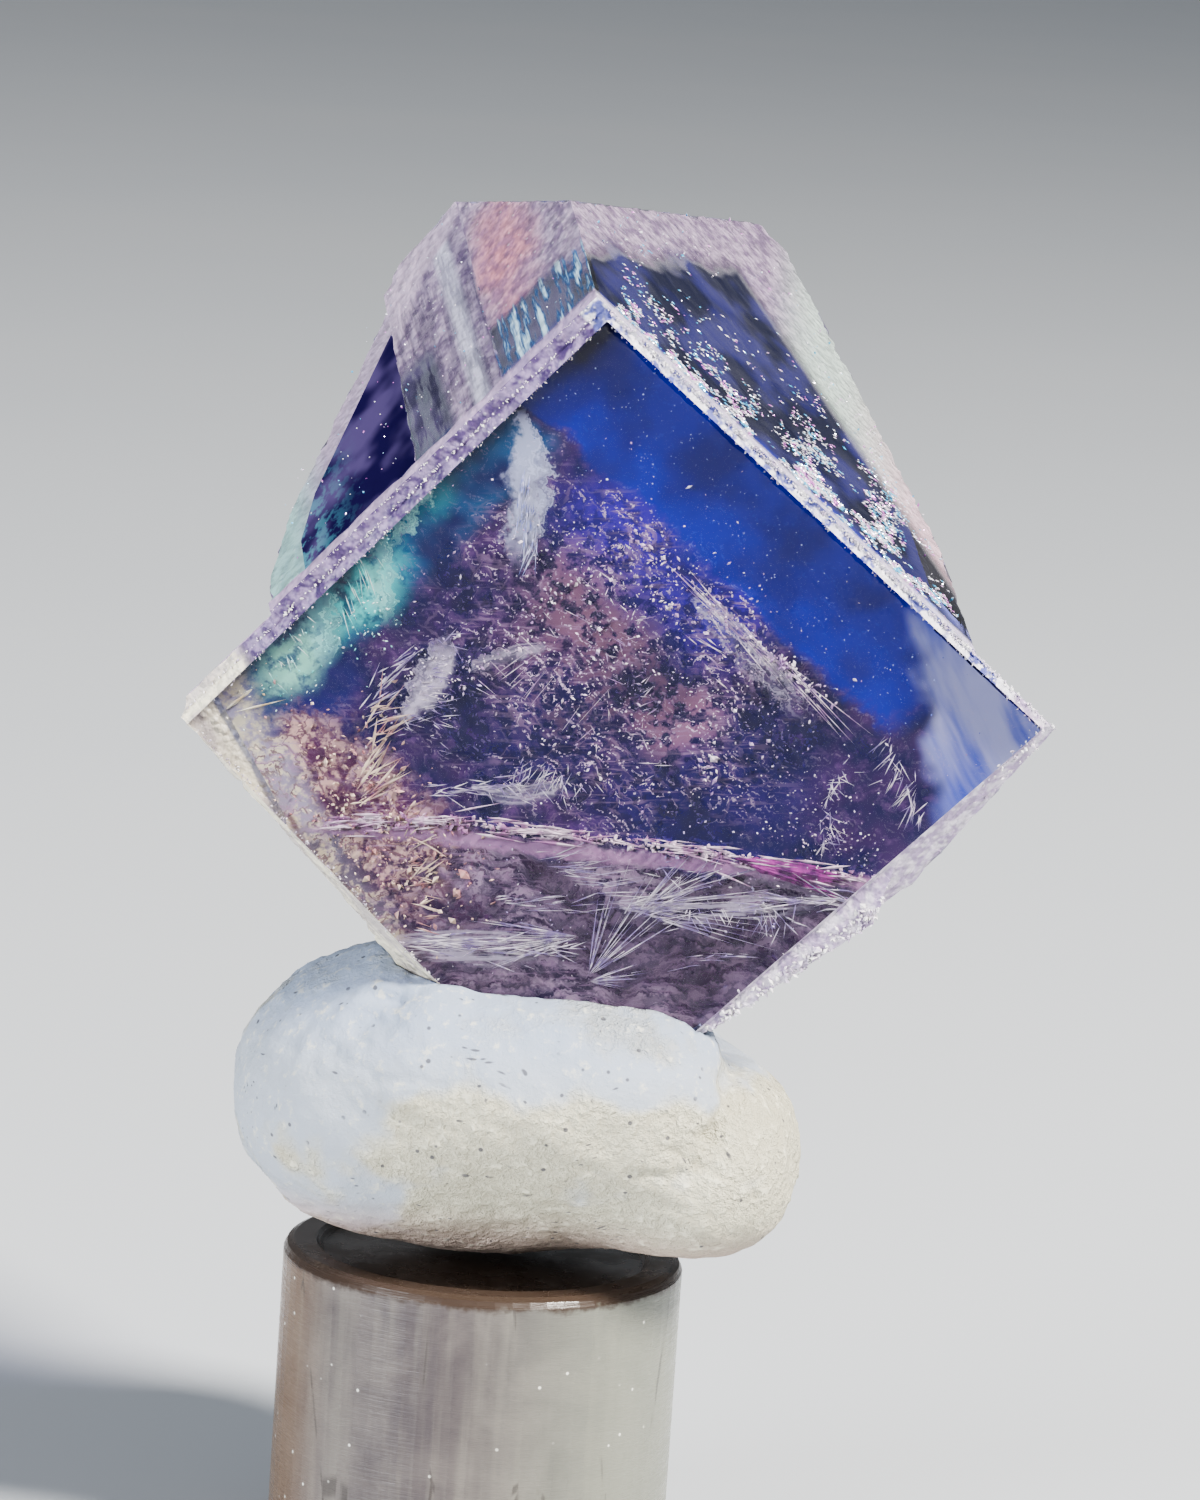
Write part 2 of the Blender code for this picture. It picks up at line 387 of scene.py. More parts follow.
class FrostPainter:
    """Where the outside is frosted, worked out from the place on the crystal."""

    def __init__(self, shader, place):
        self.shader = shader
        self.p = shader.along(place, P_AXIS, CRYSTAL_TOP)
        self.q = shader.along(place, Q_AXIS, CRYSTAL_TOP)
        self.r = shader.along(place, R_AXIS, CRYSTAL_TOP)
        self.patches = shader.noise(place, 0.6, 2.0, 0.6)
        self.grit = shader.noise(place, 2.6, 2.0, 0.65)

    def distance(self, names):
        """How far a place lies inside the nearest of the named faces."""
        fused = self.shader.fused
        nearest = None
        for name in names:
            (p, q, r), limit = BODY_FACES[name]
            length = Vector((p, q, r)).length
            total = fused(self.p, -p / length, limit / length)
            total = fused(self.r, -r / length, fused(self.q, -q / length, total))
            nearest = total if nearest is None else self.shader.math("MINIMUM", nearest, total)
        return nearest

    def rim(self, names, outer, inner):
        """Rises from 0 to 1 towards the edges shared with the named faces."""
        shader = self.shader
        wobble = shader.times(shader.minus(self.patches, 0.5), 1.1)
        return shader.ramp(shader.plus(self.distance(names), wobble), outer, inner)

    def streaks(self, across, along):
        """Fine lines that run along the second measure."""
        shader = self.shader
        spot = shader.flat(shader.times(across, 3.2), shader.times(along, 0.45))
        return shader.flat_noise(spot, 1.0, 3.0, 0.65)


def right_frost(painter):
    """The lilac band along the top and the pale rim on the right, around a dark window."""
    shader = painter.shader
    mix, ramp = shader.mix, shader.ramp
    top = painter.rim(("top_rear",), 1.5, 0.8)
    mottle = ramp(painter.grit, 0.35, 0.65)
    band_colour = mix(mottle, srgb(122, 104, 132), srgb(176, 158, 182))
    far = painter.distance(("right_flank_far",))
    corner = ramp(shader.fused(painter.p, 0.38, far), 5.2, 4.5)
    greenish = mix(ramp(painter.p, 7.5, 11.0), srgb(184, 198, 192), srgb(214, 184, 196))
    greenish = mix(ramp(painter.p, 5.0, 7.0), band_colour, greenish)
    lip = ramp(painter.r, 0.55, 0.3, 0.0, 0.85)
    return [
        (shader.times(top, 0.85), band_colour),
        (shader.times(corner, 0.85), greenish),
        (lip, srgb(206, 196, 218)),
    ]


def left_frost(painter):
    """A pink patch near the top, lit streaks by the front, a dark window and a pale far rim."""
    shader = painter.shader
    mix, ramp, times, minus = shader.mix, shader.ramp, shader.times, shader.minus
    q, r = painter.q, painter.r
    streak = painter.streaks(q, r)
    mottle = ramp(painter.grit, 0.35, 0.65)
    lilac = mix(mottle, srgb(132, 114, 142), srgb(188, 170, 194))
    pink_q = times(minus(q, 2.1), 1.0 / 1.1)
    pink_r = times(minus(r, 4.9), 1.0 / 2.9)
    away = shader.fused(pink_q, pink_q, times(pink_r, pink_r))
    away = shader.plus(away, times(minus(painter.patches, 0.5), 2.4))
    rosy = mix(mottle, srgb(172, 122, 148), srgb(226, 150, 162))
    pink = mix(ramp(away, 1.7, -0.4, 0.0, 0.9), lilac, rosy)
    top = times(ramp(q, 3.3, 3.1), ramp(r, 2.3, 3.0))
    lit = times(ramp(q, 3.3, 3.1), ramp(r, 2.9, 2.3))
    lit = times(lit, ramp(streak, 0.42, 0.66, 0.1, 0.85))
    window = times(ramp(q, 4.5, 5.1), ramp(r, 4.9, 3.9))
    glow = ramp(shader.math("ABSOLUTE", minus(q, 3.85)), 0.4, 0.1)
    middle = times(ramp(q, 3.1, 3.3), minus(1.0, window))
    middle = times(middle, ramp(streak, 0.36, 0.62, 0.45, 0.9))
    middle_colour = mix(glow, lilac, srgb(216, 212, 230))
    rim = painter.rim(("left_flank_near", "left_flank_mid", "left_flank_far"), 1.9, 0.9)
    peak = painter.rim(("peak_bevel", "top_rear"), 2.2, 1.0)
    lower = mix(ramp(q, 8.6, 10.4), srgb(202, 182, 204), srgb(176, 212, 206))
    haze = times(ramp(q, 5.4, 8.0, 0.25, 1.0), ramp(streak, 0.40, 0.60, 0.1, 0.75))
    haze = times(haze, window)
    return [
        (times(peak, 0.8), lilac),
        (times(top, 0.85), pink),
        (lit, mix(ramp(streak, 0.5, 0.7), srgb(60, 110, 168), srgb(206, 234, 246))),
        (middle, middle_colour),
        (haze, srgb(118, 146, 154)),
        (times(rim, 0.85), lower),
        (ramp(r, 0.6, 0.35, 0.0, 0.85), srgb(196, 172, 204)),
    ]


def bevel_frost(painter):
    """Frosted edges: mauve on the upper left, white on the upper right, cream low on the left."""
    shader = painter.shader
    mix, ramp = shader.mix, shader.ramp
    p, q = painter.p, painter.q
    mottle = ramp(painter.grit, 0.4, 0.6)
    streak = painter.streaks(painter.r, shader.minus(p, q))
    mauve = mix(mottle, srgb(92, 74, 116), srgb(158, 138, 176))
    sparkling = mix(ramp(painter.grit, 0.4, 0.54), srgb(108, 112, 176), srgb(244, 240, 250))
    cream = mix(ramp(streak, 0.4, 0.6), srgb(206, 196, 190), srgb(250, 242, 218))
    pale = mix(mottle, srgb(184, 164, 198), srgb(236, 226, 240))
    return [
        (ramp(p, 0.9, 0.6, 0.0, 0.95), mauve),
        (ramp(q, 0.7, 0.4, 0.0, 0.95), sparkling),
        (ramp(p, 13.6, 14.6, 0.0, 0.92), pale),
        (ramp(q, 12.0, 13.4, 0.0, 0.9), cream),
    ]


def rear_frost(painter):
    """Cleavage streaks and growth bands, thin enough to show the colours behind them."""
    shader = painter.shader
    sideways = shader.minus(painter.p, painter.q)
    wavy = shader.fused(painter.patches, 1.6, painter.r)
    bands = painter.streaks(shader.times(wavy, 0.3), shader.times(sideways, 0.6))
    lines = painter.streaks(shader.plus(painter.p, painter.q), shader.times(wavy, 0.6))
    colour = shader.mix(shader.ramp(bands, 0.35, 0.65), srgb(112, 96, 176), srgb(190, 182, 218))
    return [
        (shader.ramp(bands, 0.36, 0.70, 0.05, 0.38), colour),
        (shader.ramp(lines, 0.62, 0.74, 0.0, 0.4), srgb(214, 208, 230)),
    ]


def crystal_material(name, tint, roughness, bump_scale, bump_height, frost, layers=None, pyramids=0.0):
    """Clear fluorite: smooth or etched, frosted in patches and where its layers say so."""
    shader = Shader(name)
    mix, ramp, times = shader.mix, shader.ramp, shader.times
    place = shader.place()
    painter = FrostPainter(shader, place)
    patches = painter.patches
    grain = shader.noise(place, bump_scale, 2.0, 0.6)
    colour = mix(ramp(patches, 0.3, 0.7), tint, tuple(min(1.0, 1.08 * c) for c in tint))
    low, high = frost
    cloudy = ramp(patches, 0.35, 0.65, low, high)
    for amount, layer_colour in layers(painter) if layers else ():
        amount = times(amount, ramp(grain, 0.3, 0.62, 0.7, 1.0))
        colour = mix(ramp(amount, 0.0, 0.35), colour, layer_colour)
        cloudy = shader.most(cloudy, amount)
    relief = grain
    if pyramids:
        points = ramp(shader.cells(place, 3.4), 0.0, 0.5, 1.0, 0.0, smooth=False)
        relief = times(shader.fused(points, pyramids, grain), cloudy)
        colour = mix(times(ramp(points, 0.6, 0.95), 0.35), colour, (0.95, 0.93, 0.97))
    surface = shader.principled(
        Base_Color=colour,
        Roughness=ramp(patches, 0.35, 0.7, roughness * 0.6, roughness * 1.5),
        IOR=FLUORITE_IOR,
        Specular_IOR_Level=0.2,
        Transmission_Weight=shader.minus(1.0, cloudy, clamp=True),
        Normal=shader.bump(relief, bump_height),
    )
    return shader.finish(surface, LAMP_TINT, BODY_ABSORB)


def slice_body(body, spacing, low, high):
    """Cuts a grid of edges into the faces so that they can carry relief."""
    for axis in range(3):
        direction = Vector((0.0, 0.0, 0.0))
        direction[axis] = 1.0
        count = int((high[axis] - low[axis]) / spacing)
        for step in range(1, count):
            spot = direction * (low[axis] + step * spacing)
            geometry = body.verts[:] + body.edges[:] + body.faces[:]
            bmesh.ops.bisect_plane(body, geom=geometry, dist=1e-4, plane_co=spot, plane_no=direction)


FRONT, BEVEL, UPPER_RIGHT, UPPER_LEFT, REAR = range(5)


def face_kind(normal, centre):
    """Which kind of surface a face is, from its direction and place in P, Q, R."""
    if normal.z < -0.97:
        return FRONT if centre.z < 0.06 else BEVEL
    if max(normal.x, normal.y) > 0.85 and centre.z < 1.8:
        return BEVEL
    if normal.y > 0.2 and normal.z > 0.5 and centre.z < 1.3:
        return BEVEL
    if normal.y < -0.9:
        return UPPER_RIGHT
    if normal.x < -0.9:
        return UPPER_LEFT
    if normal.z < -0.25:
        return BEVEL
    return REAR


ETCH_DEPTH = {FRONT: 0.0, BEVEL: 0.04, UPPER_RIGHT: 0.03, UPPER_LEFT: 0.02, REAR: 0.02}
EDGE_NIBBLE = 0.10
RELIEF_SPACING = 0.3
RELIEF_LOW = (-4.5, -1.0, 0.0)
RELIEF_HIGH = (17.0, 17.0, 15.5)
RIGHT_RIM = ("top_rear", "right_flank_near", "right_flank_far")
LEFT_RIM = ("top_rear", "left_flank_near", "left_flank_mid", "left_flank_far", "peak_bevel")


def etch_body(body):
    """Lowers the side faces by fine relief and nibbles the sharp edges."""
    body.normal_update()
    moves = {}
    for vertex in body.verts:
        faces = vertex.link_faces
        kinds = {face_kind(face.normal, face.calc_center_median()) for face in faces}
        spread = min((a.normal.dot(b.normal) for a in faces for b in faces), default=1.0)
        depth = min(ETCH_DEPTH[kind] for kind in kinds)
        relief = 0.5 + 0.5 * noise.noise(vertex.co * 2.3)
        fine = 0.5 + 0.5 * noise.noise(vertex.co * 9.0)
        amount = depth * (0.5 * relief + fine)
        if spread < 0.9 and FRONT not in kinds:
            amount += EDGE_NIBBLE * fine * fine
        moves[vertex] = -vertex.normal * amount
    for vertex, move in moves.items():
        vertex.co += move


# The skin in the order of the face kinds: tint; roughness; scale and height of the relief;
# least and most frost; frosted layers; height of the etched pyramids
SKIN_LOOKS = (
    ("front", (0.96, 0.95, 0.98), 0.02, 1.2, 0.003, (0.0, 0.0)),
    ("bevel", srgb(176, 156, 188), 0.3, 4.0, 0.06, (0.5, 0.85), bevel_frost, 1.2),
    ("upper_right", (0.88, 0.86, 0.95), 0.05, 5.0, 0.05, (0.0, 0.02), right_frost, 1.2),
    ("upper_left", (0.88, 0.86, 0.95), 0.05, 3.0, 0.05, (0.0, 0.04), left_frost, 1.0),
    ("rear", (0.82, 0.79, 0.92), 0.12, 3.0, 0.04, (0.06, 0.2), rear_frost, 0.6),
)


def build_crystal_skin():
    """The crystal's outside: deep body, front plate, side steps, and etched relief."""
    skin = object_from_bmesh("crystal_skin", convex_from_faces(BODY_FACES.values()))
    plate = object_from_bmesh("front_plate", convex_from_faces(PLATE_FACES.values()))
    apply_boolean(skin, plate, "UNION")
    side_weights, side_limit = BODY_FACES["upper_left"]
    for index, step in enumerate(SIDE_STEPS):
        faces = [
            (tuple(-weight for weight in side_weights), step["depth"] - side_limit),
            (side_weights, side_limit + STEP_CLEARANCE),
            step["start"],
            ((0.0, 1.0, 0.0), STEP_LOW_END),
            ((0.0, 0.0, -1.0), -STEP_NEAR_END),
            ((0.0, 0.0, 1.0), STEP_FAR_END),
        ]
        apply_boolean(skin, object_from_bmesh(f"step_{index}", convex_from_faces(faces)), "DIFFERENCE")
    body = bmesh.new()
    body.from_mesh(skin.data)
    slice_body(body, RELIEF_SPACING, RELIEF_LOW, RELIEF_HIGH)
    bmesh.ops.triangulate(body, faces=body.faces[:])
    etch_body(body)
    for face in body.faces:
        face.material_index = face_kind(face.normal, face.calc_center_median())
        face.smooth = face.material_index == FRONT
    body.transform(CRYSTAL_PLACE)
    skin.data.materials.clear()
    body.to_mesh(skin.data)
    body.free()
    for name, *looks in SKIN_LOOKS:
        skin.data.materials.append(crystal_material("fluorite_" + name, *looks))
    part_piece(skin, "fluorite", "fluorite_crystal")


# Shells of colour inside the crystal: how far each face is moved in, in millimetres,
# how much light each lets straight through, and how navy it is throughout
UPPER_FACES = ("upper_right", "upper_left", "top_corner")
REAR_FACES = RIGHT_RIM + LEFT_RIM + ("rear_tip",)
ZONE_SHELLS = (
    {
        "name": "outer_zones", "front": 0.40, "upper": 0.30, "rear": 1.05, "other": 0.35,
        "see_through": 0.36, "navy": 0.0, "detailed": True,
    },
    {
        "name": "inner_zones", "front": 2.00, "upper": 1.60, "rear": 2.80, "other": 1.40,
        "see_through": 0.28, "navy": 0.3, "detailed": False,
    },
)
SHELL_VARIES = 0.15
SHELL_LAMP_TINT = (0.42, 0.45, 0.62)
SHELL_ABSORB = ((0.34, 0.26, 0.70), 170.0)

CRACK_SLOPE = 0.793
CRACK_LEVEL = 17.81


# Feathery veils on the front: root P, Q; angle from P towards Q; length; half width; bow;
# strength; how evenly filled; colour
BLUISH = srgb(216, 222, 252)
LILAC = srgb(232, 220, 242)
MINT = srgb(176, 255, 244)
VEILS = (
    (0.35, 7.7, 40.0, 2.6, 0.38, 0.15, 0.9, 0.5, MINT),
    (0.35, 9.6, 46.0, 2.3, 0.40, 0.10, 0.9, 0.5, MINT),
    (0.30, 5.6, 78.0, 2.6, 0.14, -0.15, 0.9, 0.6, MINT),
    (0.6, 3.1, 49.0, 4.3, 0.55, -0.20, 1.0, 0.8, BLUISH),
    (4.1, 10.9, -108.0, 2.7, 0.50, 0.30, 1.0, 0.8, LILAC),
    (6.4, 10.9, -50.0, 2.6, 0.30, 0.60, 0.8, 0.3, LILAC),
    (6.6, 3.7, 6.0, 4.6, 0.42, -0.12, 0.8, 0.15, LILAC),
    (4.3, 8.9, -62.0, 2.4, 0.22, -0.20, 0.7, 0.3, LILAC),
    (10.9, 10.8, -46.0, 5.4, 0.40, 0.15, 0.7, 0.0, LILAC),
    (7.8, 15.4, -44.0, 4.2, 0.55, 0.10, 0.75, 0.1, LILAC),
)


class ZonePainter:
    """Works out the zone colour at a place from how far it lies along P and Q."""

    def __init__(self, shader, place):
        self.shader = shader
        times, plus, minus = shader.times, shader.plus, shader.minus
        self.depth = shader.along(place, R_AXIS, CRYSTAL_TOP)
        self.raw_p = shader.along(place, P_AXIS, CRYSTAL_TOP)
        self.raw_q = shader.along(place, Q_AXIS, CRYSTAL_TOP)
        self.true_p = minus(self.raw_p, times(self.depth, DEPTH_SLIDE_P))
        self.true_q = minus(self.raw_q, times(self.depth, DEPTH_SLIDE_Q))
        self.clouds = shader.noise(place, 0.6, 2.0, 0.55)
        self.grain = shader.noise(place, 2.6, 3.0, 0.65)
        ripple = times(minus(self.grain, 0.5), 0.5)
        wobble = plus(times(minus(self.clouds, 0.5), 1.3), ripple)
        sway = times(ripple, 1.6)
        self.soft_p = plus(self.true_p, sway)
        self.soft_q = minus(self.true_q, sway)
        self.p = plus(self.true_p, wobble)
        self.q = plus(self.true_q, wobble)

    def spot(self, p_spot, q_spot, radius, soft=0.5, stretch=1.0):
        """An oval patch, drawn out along Q where stretch is above 1."""
        shader = self.shader
        p_part = shader.times(shader.minus(self.p, p_spot), stretch)
        q_part = shader.times(shader.minus(self.q, q_spot), 1.0 / stretch)
        squares = shader.plus(shader.times(p_part, p_part), shader.times(q_part, q_part))
        return shader.ramp(shader.math("SQRT", squares), radius * (1 + soft), radius * (1 - soft))

    def veil(self, root_p, root_q, angle, length, half_width, bow, strength, evenness):
        """A streaked feather with a crisp outer line."""
        shader = self.shader
        ramp, times, fused = shader.ramp, shader.times, shader.fused
        cosine, sine = math.cos(math.radians(angle)), math.sin(math.radians(angle))
        p = shader.minus(self.soft_p, root_p)
        q = shader.minus(self.soft_q, root_q)
        along = fused(p, cosine / length, times(q, sine / length))
        across = fused(q, cosine / half_width, times(p, -sine / half_width))
        arch = times(along, shader.minus(1.0, along))
        across = fused(arch, -bow * length / half_width, across)
        run = shader.flat(times(along, length * 0.8), fused(across, half_width * 7.0, root_p * 3.7))
        streak = shader.flat_noise(run, 1.0, 2.0, 0.65)
        taper = shader.math("POWER", shader.most(times(arch, 4.0), 0.05), 0.7)
        across = shader.math("DIVIDE", across, taper)
        spread = ramp(shader.math("ABSOLUTE", across), 1.15, 0.35)
        ends = times(ramp(along, 0.0, 0.08), ramp(along, 1.0, 0.65))
        fill = ramp(streak, 0.62, 0.42, 1.0, evenness)
        line = ramp(shader.math("ABSOLUTE", shader.plus(across, 0.85)), 0.14, 0.03)
        return times(shader.most(times(spread, fill), times(line, 0.7)), ends, strength)

    def core(self):
        """The purple core with its darker, rosier and brighter violet patches."""
        shader, spot, grain = self.shader, self.spot, self.grain
        mix, ramp, times, most = shader.mix, shader.ramp, shader.times, shader.most
        deep = most(spot(10.6, 7.2, 2.6, 0.4), spot(6.9, 8.6, 1.5, 0.4))
        rosy = most(spot(5.2, 5.2, 1.6, 0.6), spot(8.8, 6.2, 1.0, 0.5))
        warm = times(spot(6.6, 6.6, 2.2, 0.6), ramp(grain, 0.44, 0.62, 0.0, 0.6))
        across = times(ramp(self.q, 1.6, 3.0), ramp(self.q, 5.6, 4.0))
        violet = times(across, ramp(self.p, 2.0, 4.0), ramp(self.p, 9.5, 7.5), 0.85)
        return shader.layered(
            mix(ramp(self.clouds, 0.38, 0.62), srgb(14, 8, 104), srgb(74, 34, 108)),
            (ramp(grain, 0.5, 0.72, 0.0, 0.5), srgb(146, 96, 170)),
            (times(deep, 0.8), srgb(18, 8, 120)),
            (times(rosy, ramp(grain, 0.4, 0.56)), srgb(186, 130, 168)),
            (warm, srgb(150, 106, 124)),
            (violet, srgb(58, 8, 210)),
        )

    def lower_part(self, colour, below):
        """The streaked part below the crack, with a peach patch on its left that is painted light focused
        through the crystal onto broken shards.
        """
        shader, p, q = self.shader, self.p, self.q
        mix, ramp, times = shader.mix, shader.ramp, shader.times
        run = shader.flat(times(shader.minus(self.true_p, self.true_q), 0.5), times(shader.plus(p, q), 2.4))
        striae = shader.flat_noise(run, 1.0, 3.0, 0.72)
        streaked = mix(ramp(striae, 0.36, 0.62), srgb(58, 34, 76), srgb(188, 162, 190))
        streaked = mix(ramp(self.clouds, 0.4, 0.64, 0.45, 0.0), streaked, srgb(84, 36, 92))
        colour = mix(ramp(below, CRACK_LEVEL - 0.1, CRACK_LEVEL + 0.4), colour, streaked)
        # Painted light: the peach and white patch stands for light focused through the crystal
        peach = times(ramp(q, 11.4, 12.6), ramp(p, 1.2, 2.4), ramp(p, 8.4, 6.2), 0.85)
        peach_colour = mix(ramp(self.grain, 0.42, 0.58), srgb(104, 48, 84), srgb(250, 204, 188))
        return mix(peach, colour, peach_colour)

    def left_part(self, colour):
        """Teal and mint along the upper left edge and the cream corner, with the pale masks."""
        shader, spot, grain = self.shader, self.spot, self.grain
        mix, ramp, times = shader.mix, shader.ramp, shader.times
        teal = times(ramp(self.p, 2.4, 1.6), ramp(self.q, 2.9, 3.6))
        teal_colour = mix(ramp(self.clouds, 0.4, 0.6), srgb(2, 26, 120), srgb(4, 96, 156))
        mottle = ramp(grain, 0.34, 0.56, 0.25, 1.0)
        first_mint = times(spot(1.2, 9.2, 0.85, 0.7, 1.35), mottle)
        second_mint = times(spot(1.15, 11.5, 0.75, 0.7, 1.35), mottle)
        left = ramp(shader.fused(self.true_p, -0.3, self.q), 12.1, 12.9)
        left_colour = mix(ramp(grain, 0.42, 0.6), srgb(186, 176, 200), srgb(252, 242, 210))
        colour = shader.layered(
            colour,
            (teal, teal_colour),
            (times(spot(2.2, 11.3, 0.8), 0.9), srgb(26, 26, 130)),
            (first_mint, srgb(110, 248, 240)),
            (second_mint, srgb(176, 252, 226)),
            (times(spot(0.5, 7.4, 0.5, 0.7, 1.6), 0.8), srgb(40, 176, 206)),
            (times(spot(0.5, 6.2, 0.6), 0.7), srgb(60, 190, 210)),
            (times(left, 0.9), left_colour),
        )
        return colour, left, shader.most(first_mint, second_mint)

    def right_part(self, colour):
        """The blue slab and the pale, streaked corner on the right, with both masks."""
        shader, p, q, clouds = self.shader, self.p, self.q, self.clouds
        mix, ramp, times, fused = shader.mix, shader.ramp, shader.times, shader.fused
        slab = times(ramp(q, 3.15, 2.8), ramp(p, 12.9, 12.2))
        slab_colour = mix(ramp(clouds, 0.36, 0.64), srgb(4, 16, 146), srgb(6, 30, 186))
        colour = mix(slab, colour, slab_colour)
        corner = fused(shader.minus(clouds, 0.5), 3.0, fused(q, -1.2, p))
        right = times(ramp(corner, 10.0, 11.0), ramp(p, 9.6, 10.6), ramp(q, 4.8, 4.0))
        across = fused(self.true_p, -0.4, self.true_q)
        along = times(fused(self.true_q, 0.4, self.true_p), 0.16)
        streaks = ramp(shader.flat_noise(shader.flat(across, along), 1.1, 3.0, 0.6), 0.3, 0.66, 0.1, 1.0)
        streaks = times(streaks, ramp(self.true_q, 3.8, 1.6, 0.25, 1.0))
        return mix(right, colour, mix(streaks, srgb(8, 64, 206), srgb(200, 202, 248))), slab, right

    def far_part(self, colour, navy):
        """The dark colours just under the upper faces and deep behind the front."""
        shader, clouds, depth = self.shader, self.clouds, self.depth
        mix, ramp, times = shader.mix, shader.ramp, shader.times
        deeper = ramp(depth, 0.5, 1.1)
        left_side = times(ramp(shader.fused(depth, LEFT_SLOPE, self.raw_p), 1.0, 0.6), deeper)
        right_side = times(ramp(shader.fused(depth, RIGHT_SLOPE, self.raw_q), 1.0, 0.6), deeper)
        glints = times(ramp(self.raw_q, 7.5, 11.5), ramp(self.grain, 0.45, 0.6))
        patchy = ramp(clouds, 0.4, 0.6)
        left_dark = mix(glints, mix(patchy, srgb(30, 22, 66), srgb(84, 72, 112)), srgb(96, 160, 172))
        right_dark = mix(patchy, srgb(6, 8, 44), srgb(26, 24, 92))
        behind = shader.most(ramp(depth, 1.2, 3.4, 0.0, 0.92), navy)
        colour = mix(behind, colour, mix(ramp(clouds, 0.42, 0.6), srgb(6, 10, 66), srgb(40, 20, 88)))
        colour = mix(right_side, mix(left_side, colour, left_dark), right_dark)
        return colour, times(shader.most(left_side, right_side), 0.85)

    def paint(self, navy, detailed):
        """The colour of every zone and how much each spot keeps light from passing straight on."""
        shader = self.shader
        times, most = shader.times, shader.most
        below = shader.fused(self.p, CRACK_SLOPE, self.q)
        colour = self.lower_part(self.core(), below)
        colour, left, mint = self.left_part(colour)
        colour, slab, right = self.right_part(colour)
        solid = most(times(slab, 0.8), times(most(most(left, right), mint), 0.9))
        if detailed:
            colour, bright = self.details(colour, slab, below)
            solid = most(solid, bright)
        colour, sides = self.far_part(colour, navy)
        return colour, most(times(solid, shader.ramp(self.depth, 3.4, 1.2)), sides)

    def specks(self, warped, middle):
        """Small bright flecks, thickest in the middle of the core."""
        shader = self.shader
        distance, tone = shader.flat_cells(warped, 5.0)
        chosen = shader.ramp(shader.node("SeparateColor", None, i0=tone).outputs[0], 0.35, 0.5)
        thick = shader.ramp(self.clouds, 0.4, 0.6, 0.25, 1.0)
        return shader.times(shader.ramp(distance, 0.24, 0.12), chosen, shader.most(middle, 0.15), thick)

    def crack_band(self):
        """The wavy band along the crack."""
        shader = self.shader
        wave = shader.times(shader.minus(self.grain, 0.5), 0.7)
        place = shader.plus(shader.fused(self.true_p, CRACK_SLOPE, self.true_q), wave)
        away = shader.math("ABSOLUTE", shader.minus(place, CRACK_LEVEL))
        return shader.times(shader.ramp(away, 0.34, 0.12), shader.ramp(self.true_p, 4.2, 5.0))

    def threads(self):
        """Fine fibres that run three ways."""
        shader, p, q = self.shader, self.true_p, self.true_q
        times = shader.times
        runs = (
            (shader.flat(times(shader.minus(p, q), 0.7), times(shader.plus(p, q), 5.0)), 0.54, 0.68),
            (shader.flat(times(self.p, 0.9), times(self.q, 6.0)), 0.56, 0.70),
            (shader.flat(times(self.q, 0.8), times(self.p, 6.0)), 0.60, 0.74),
        )
        return shader.most(*(
            shader.ramp(shader.flat_noise(run, 1.0, 2.0, 0.7), low, high) for run, low, high in runs
        ))

    def veils(self, colour):
        """All feathery veils laid over the colour, with their mask."""
        masks = []
        for *veil, veil_colour in VEILS:
            masks.append(self.veil(*veil))
            colour = self.shader.mix(masks[-1], colour, veil_colour)
        return colour, self.shader.most(*masks)

    def details(self, colour, slab, below):
        """Crackle, threads, veils and specks, seen close behind the front."""
        shader, p, grain, clouds = self.shader, self.p, self.grain, self.clouds
        mix, ramp, times, most = shader.mix, shader.ramp, shader.times, shader.most
        outside_slab = shader.minus(1.0, slab)
        middle = times(self.spot(6.8, 6.2, 4.6, 0.35), shader.minus(1.0, times(slab, 0.75)))
        lower = ramp(below, CRACK_LEVEL, CRACK_LEVEL + 0.6)
        shards_and_painted_caustic = times(ramp(self.q, 11.0, 12.4), ramp(p, 1.4, 2.4), ramp(p, 10.0, 7.0))
        warped = shader.flat(shader.fused(grain, 1.6, self.true_p), shader.fused(clouds, 2.0, self.true_q))
        cracks, _ = shader.flat_cells(warped, 2.3, "DISTANCE_TO_EDGE")
        crackle = times(ramp(cracks, 0.16, 0.03), shards_and_painted_caustic, ramp(grain, 0.4, 0.55), 0.8)
        colour = mix(crackle, colour, srgb(92, 40, 82))
        band = self.crack_band()
        colour = mix(times(band, 0.85), colour, srgb(214, 158, 206))
        threads = times(self.threads(), most(middle, lower, shards_and_painted_caustic), outside_slab)
        threads = times(threads, ramp(clouds, 0.36, 0.6, 0.05, 0.6))
        colour = mix(threads, colour, srgb(196, 156, 196))
        gloom = most(times(middle, 0.7), times(lower, 0.6))
        dark = times(ramp(grain, 0.54, 0.42), gloom, outside_slab, 0.85)
        colour, veils = self.veils(mix(dark, colour, srgb(14, 6, 60)))
        specks = self.specks(warped, middle)
        colour = mix(specks, colour, mix(slab, srgb(240, 214, 240), srgb(60, 96, 250)))
        return colour, most(most(specks, veils), most(band, shards_and_painted_caustic))


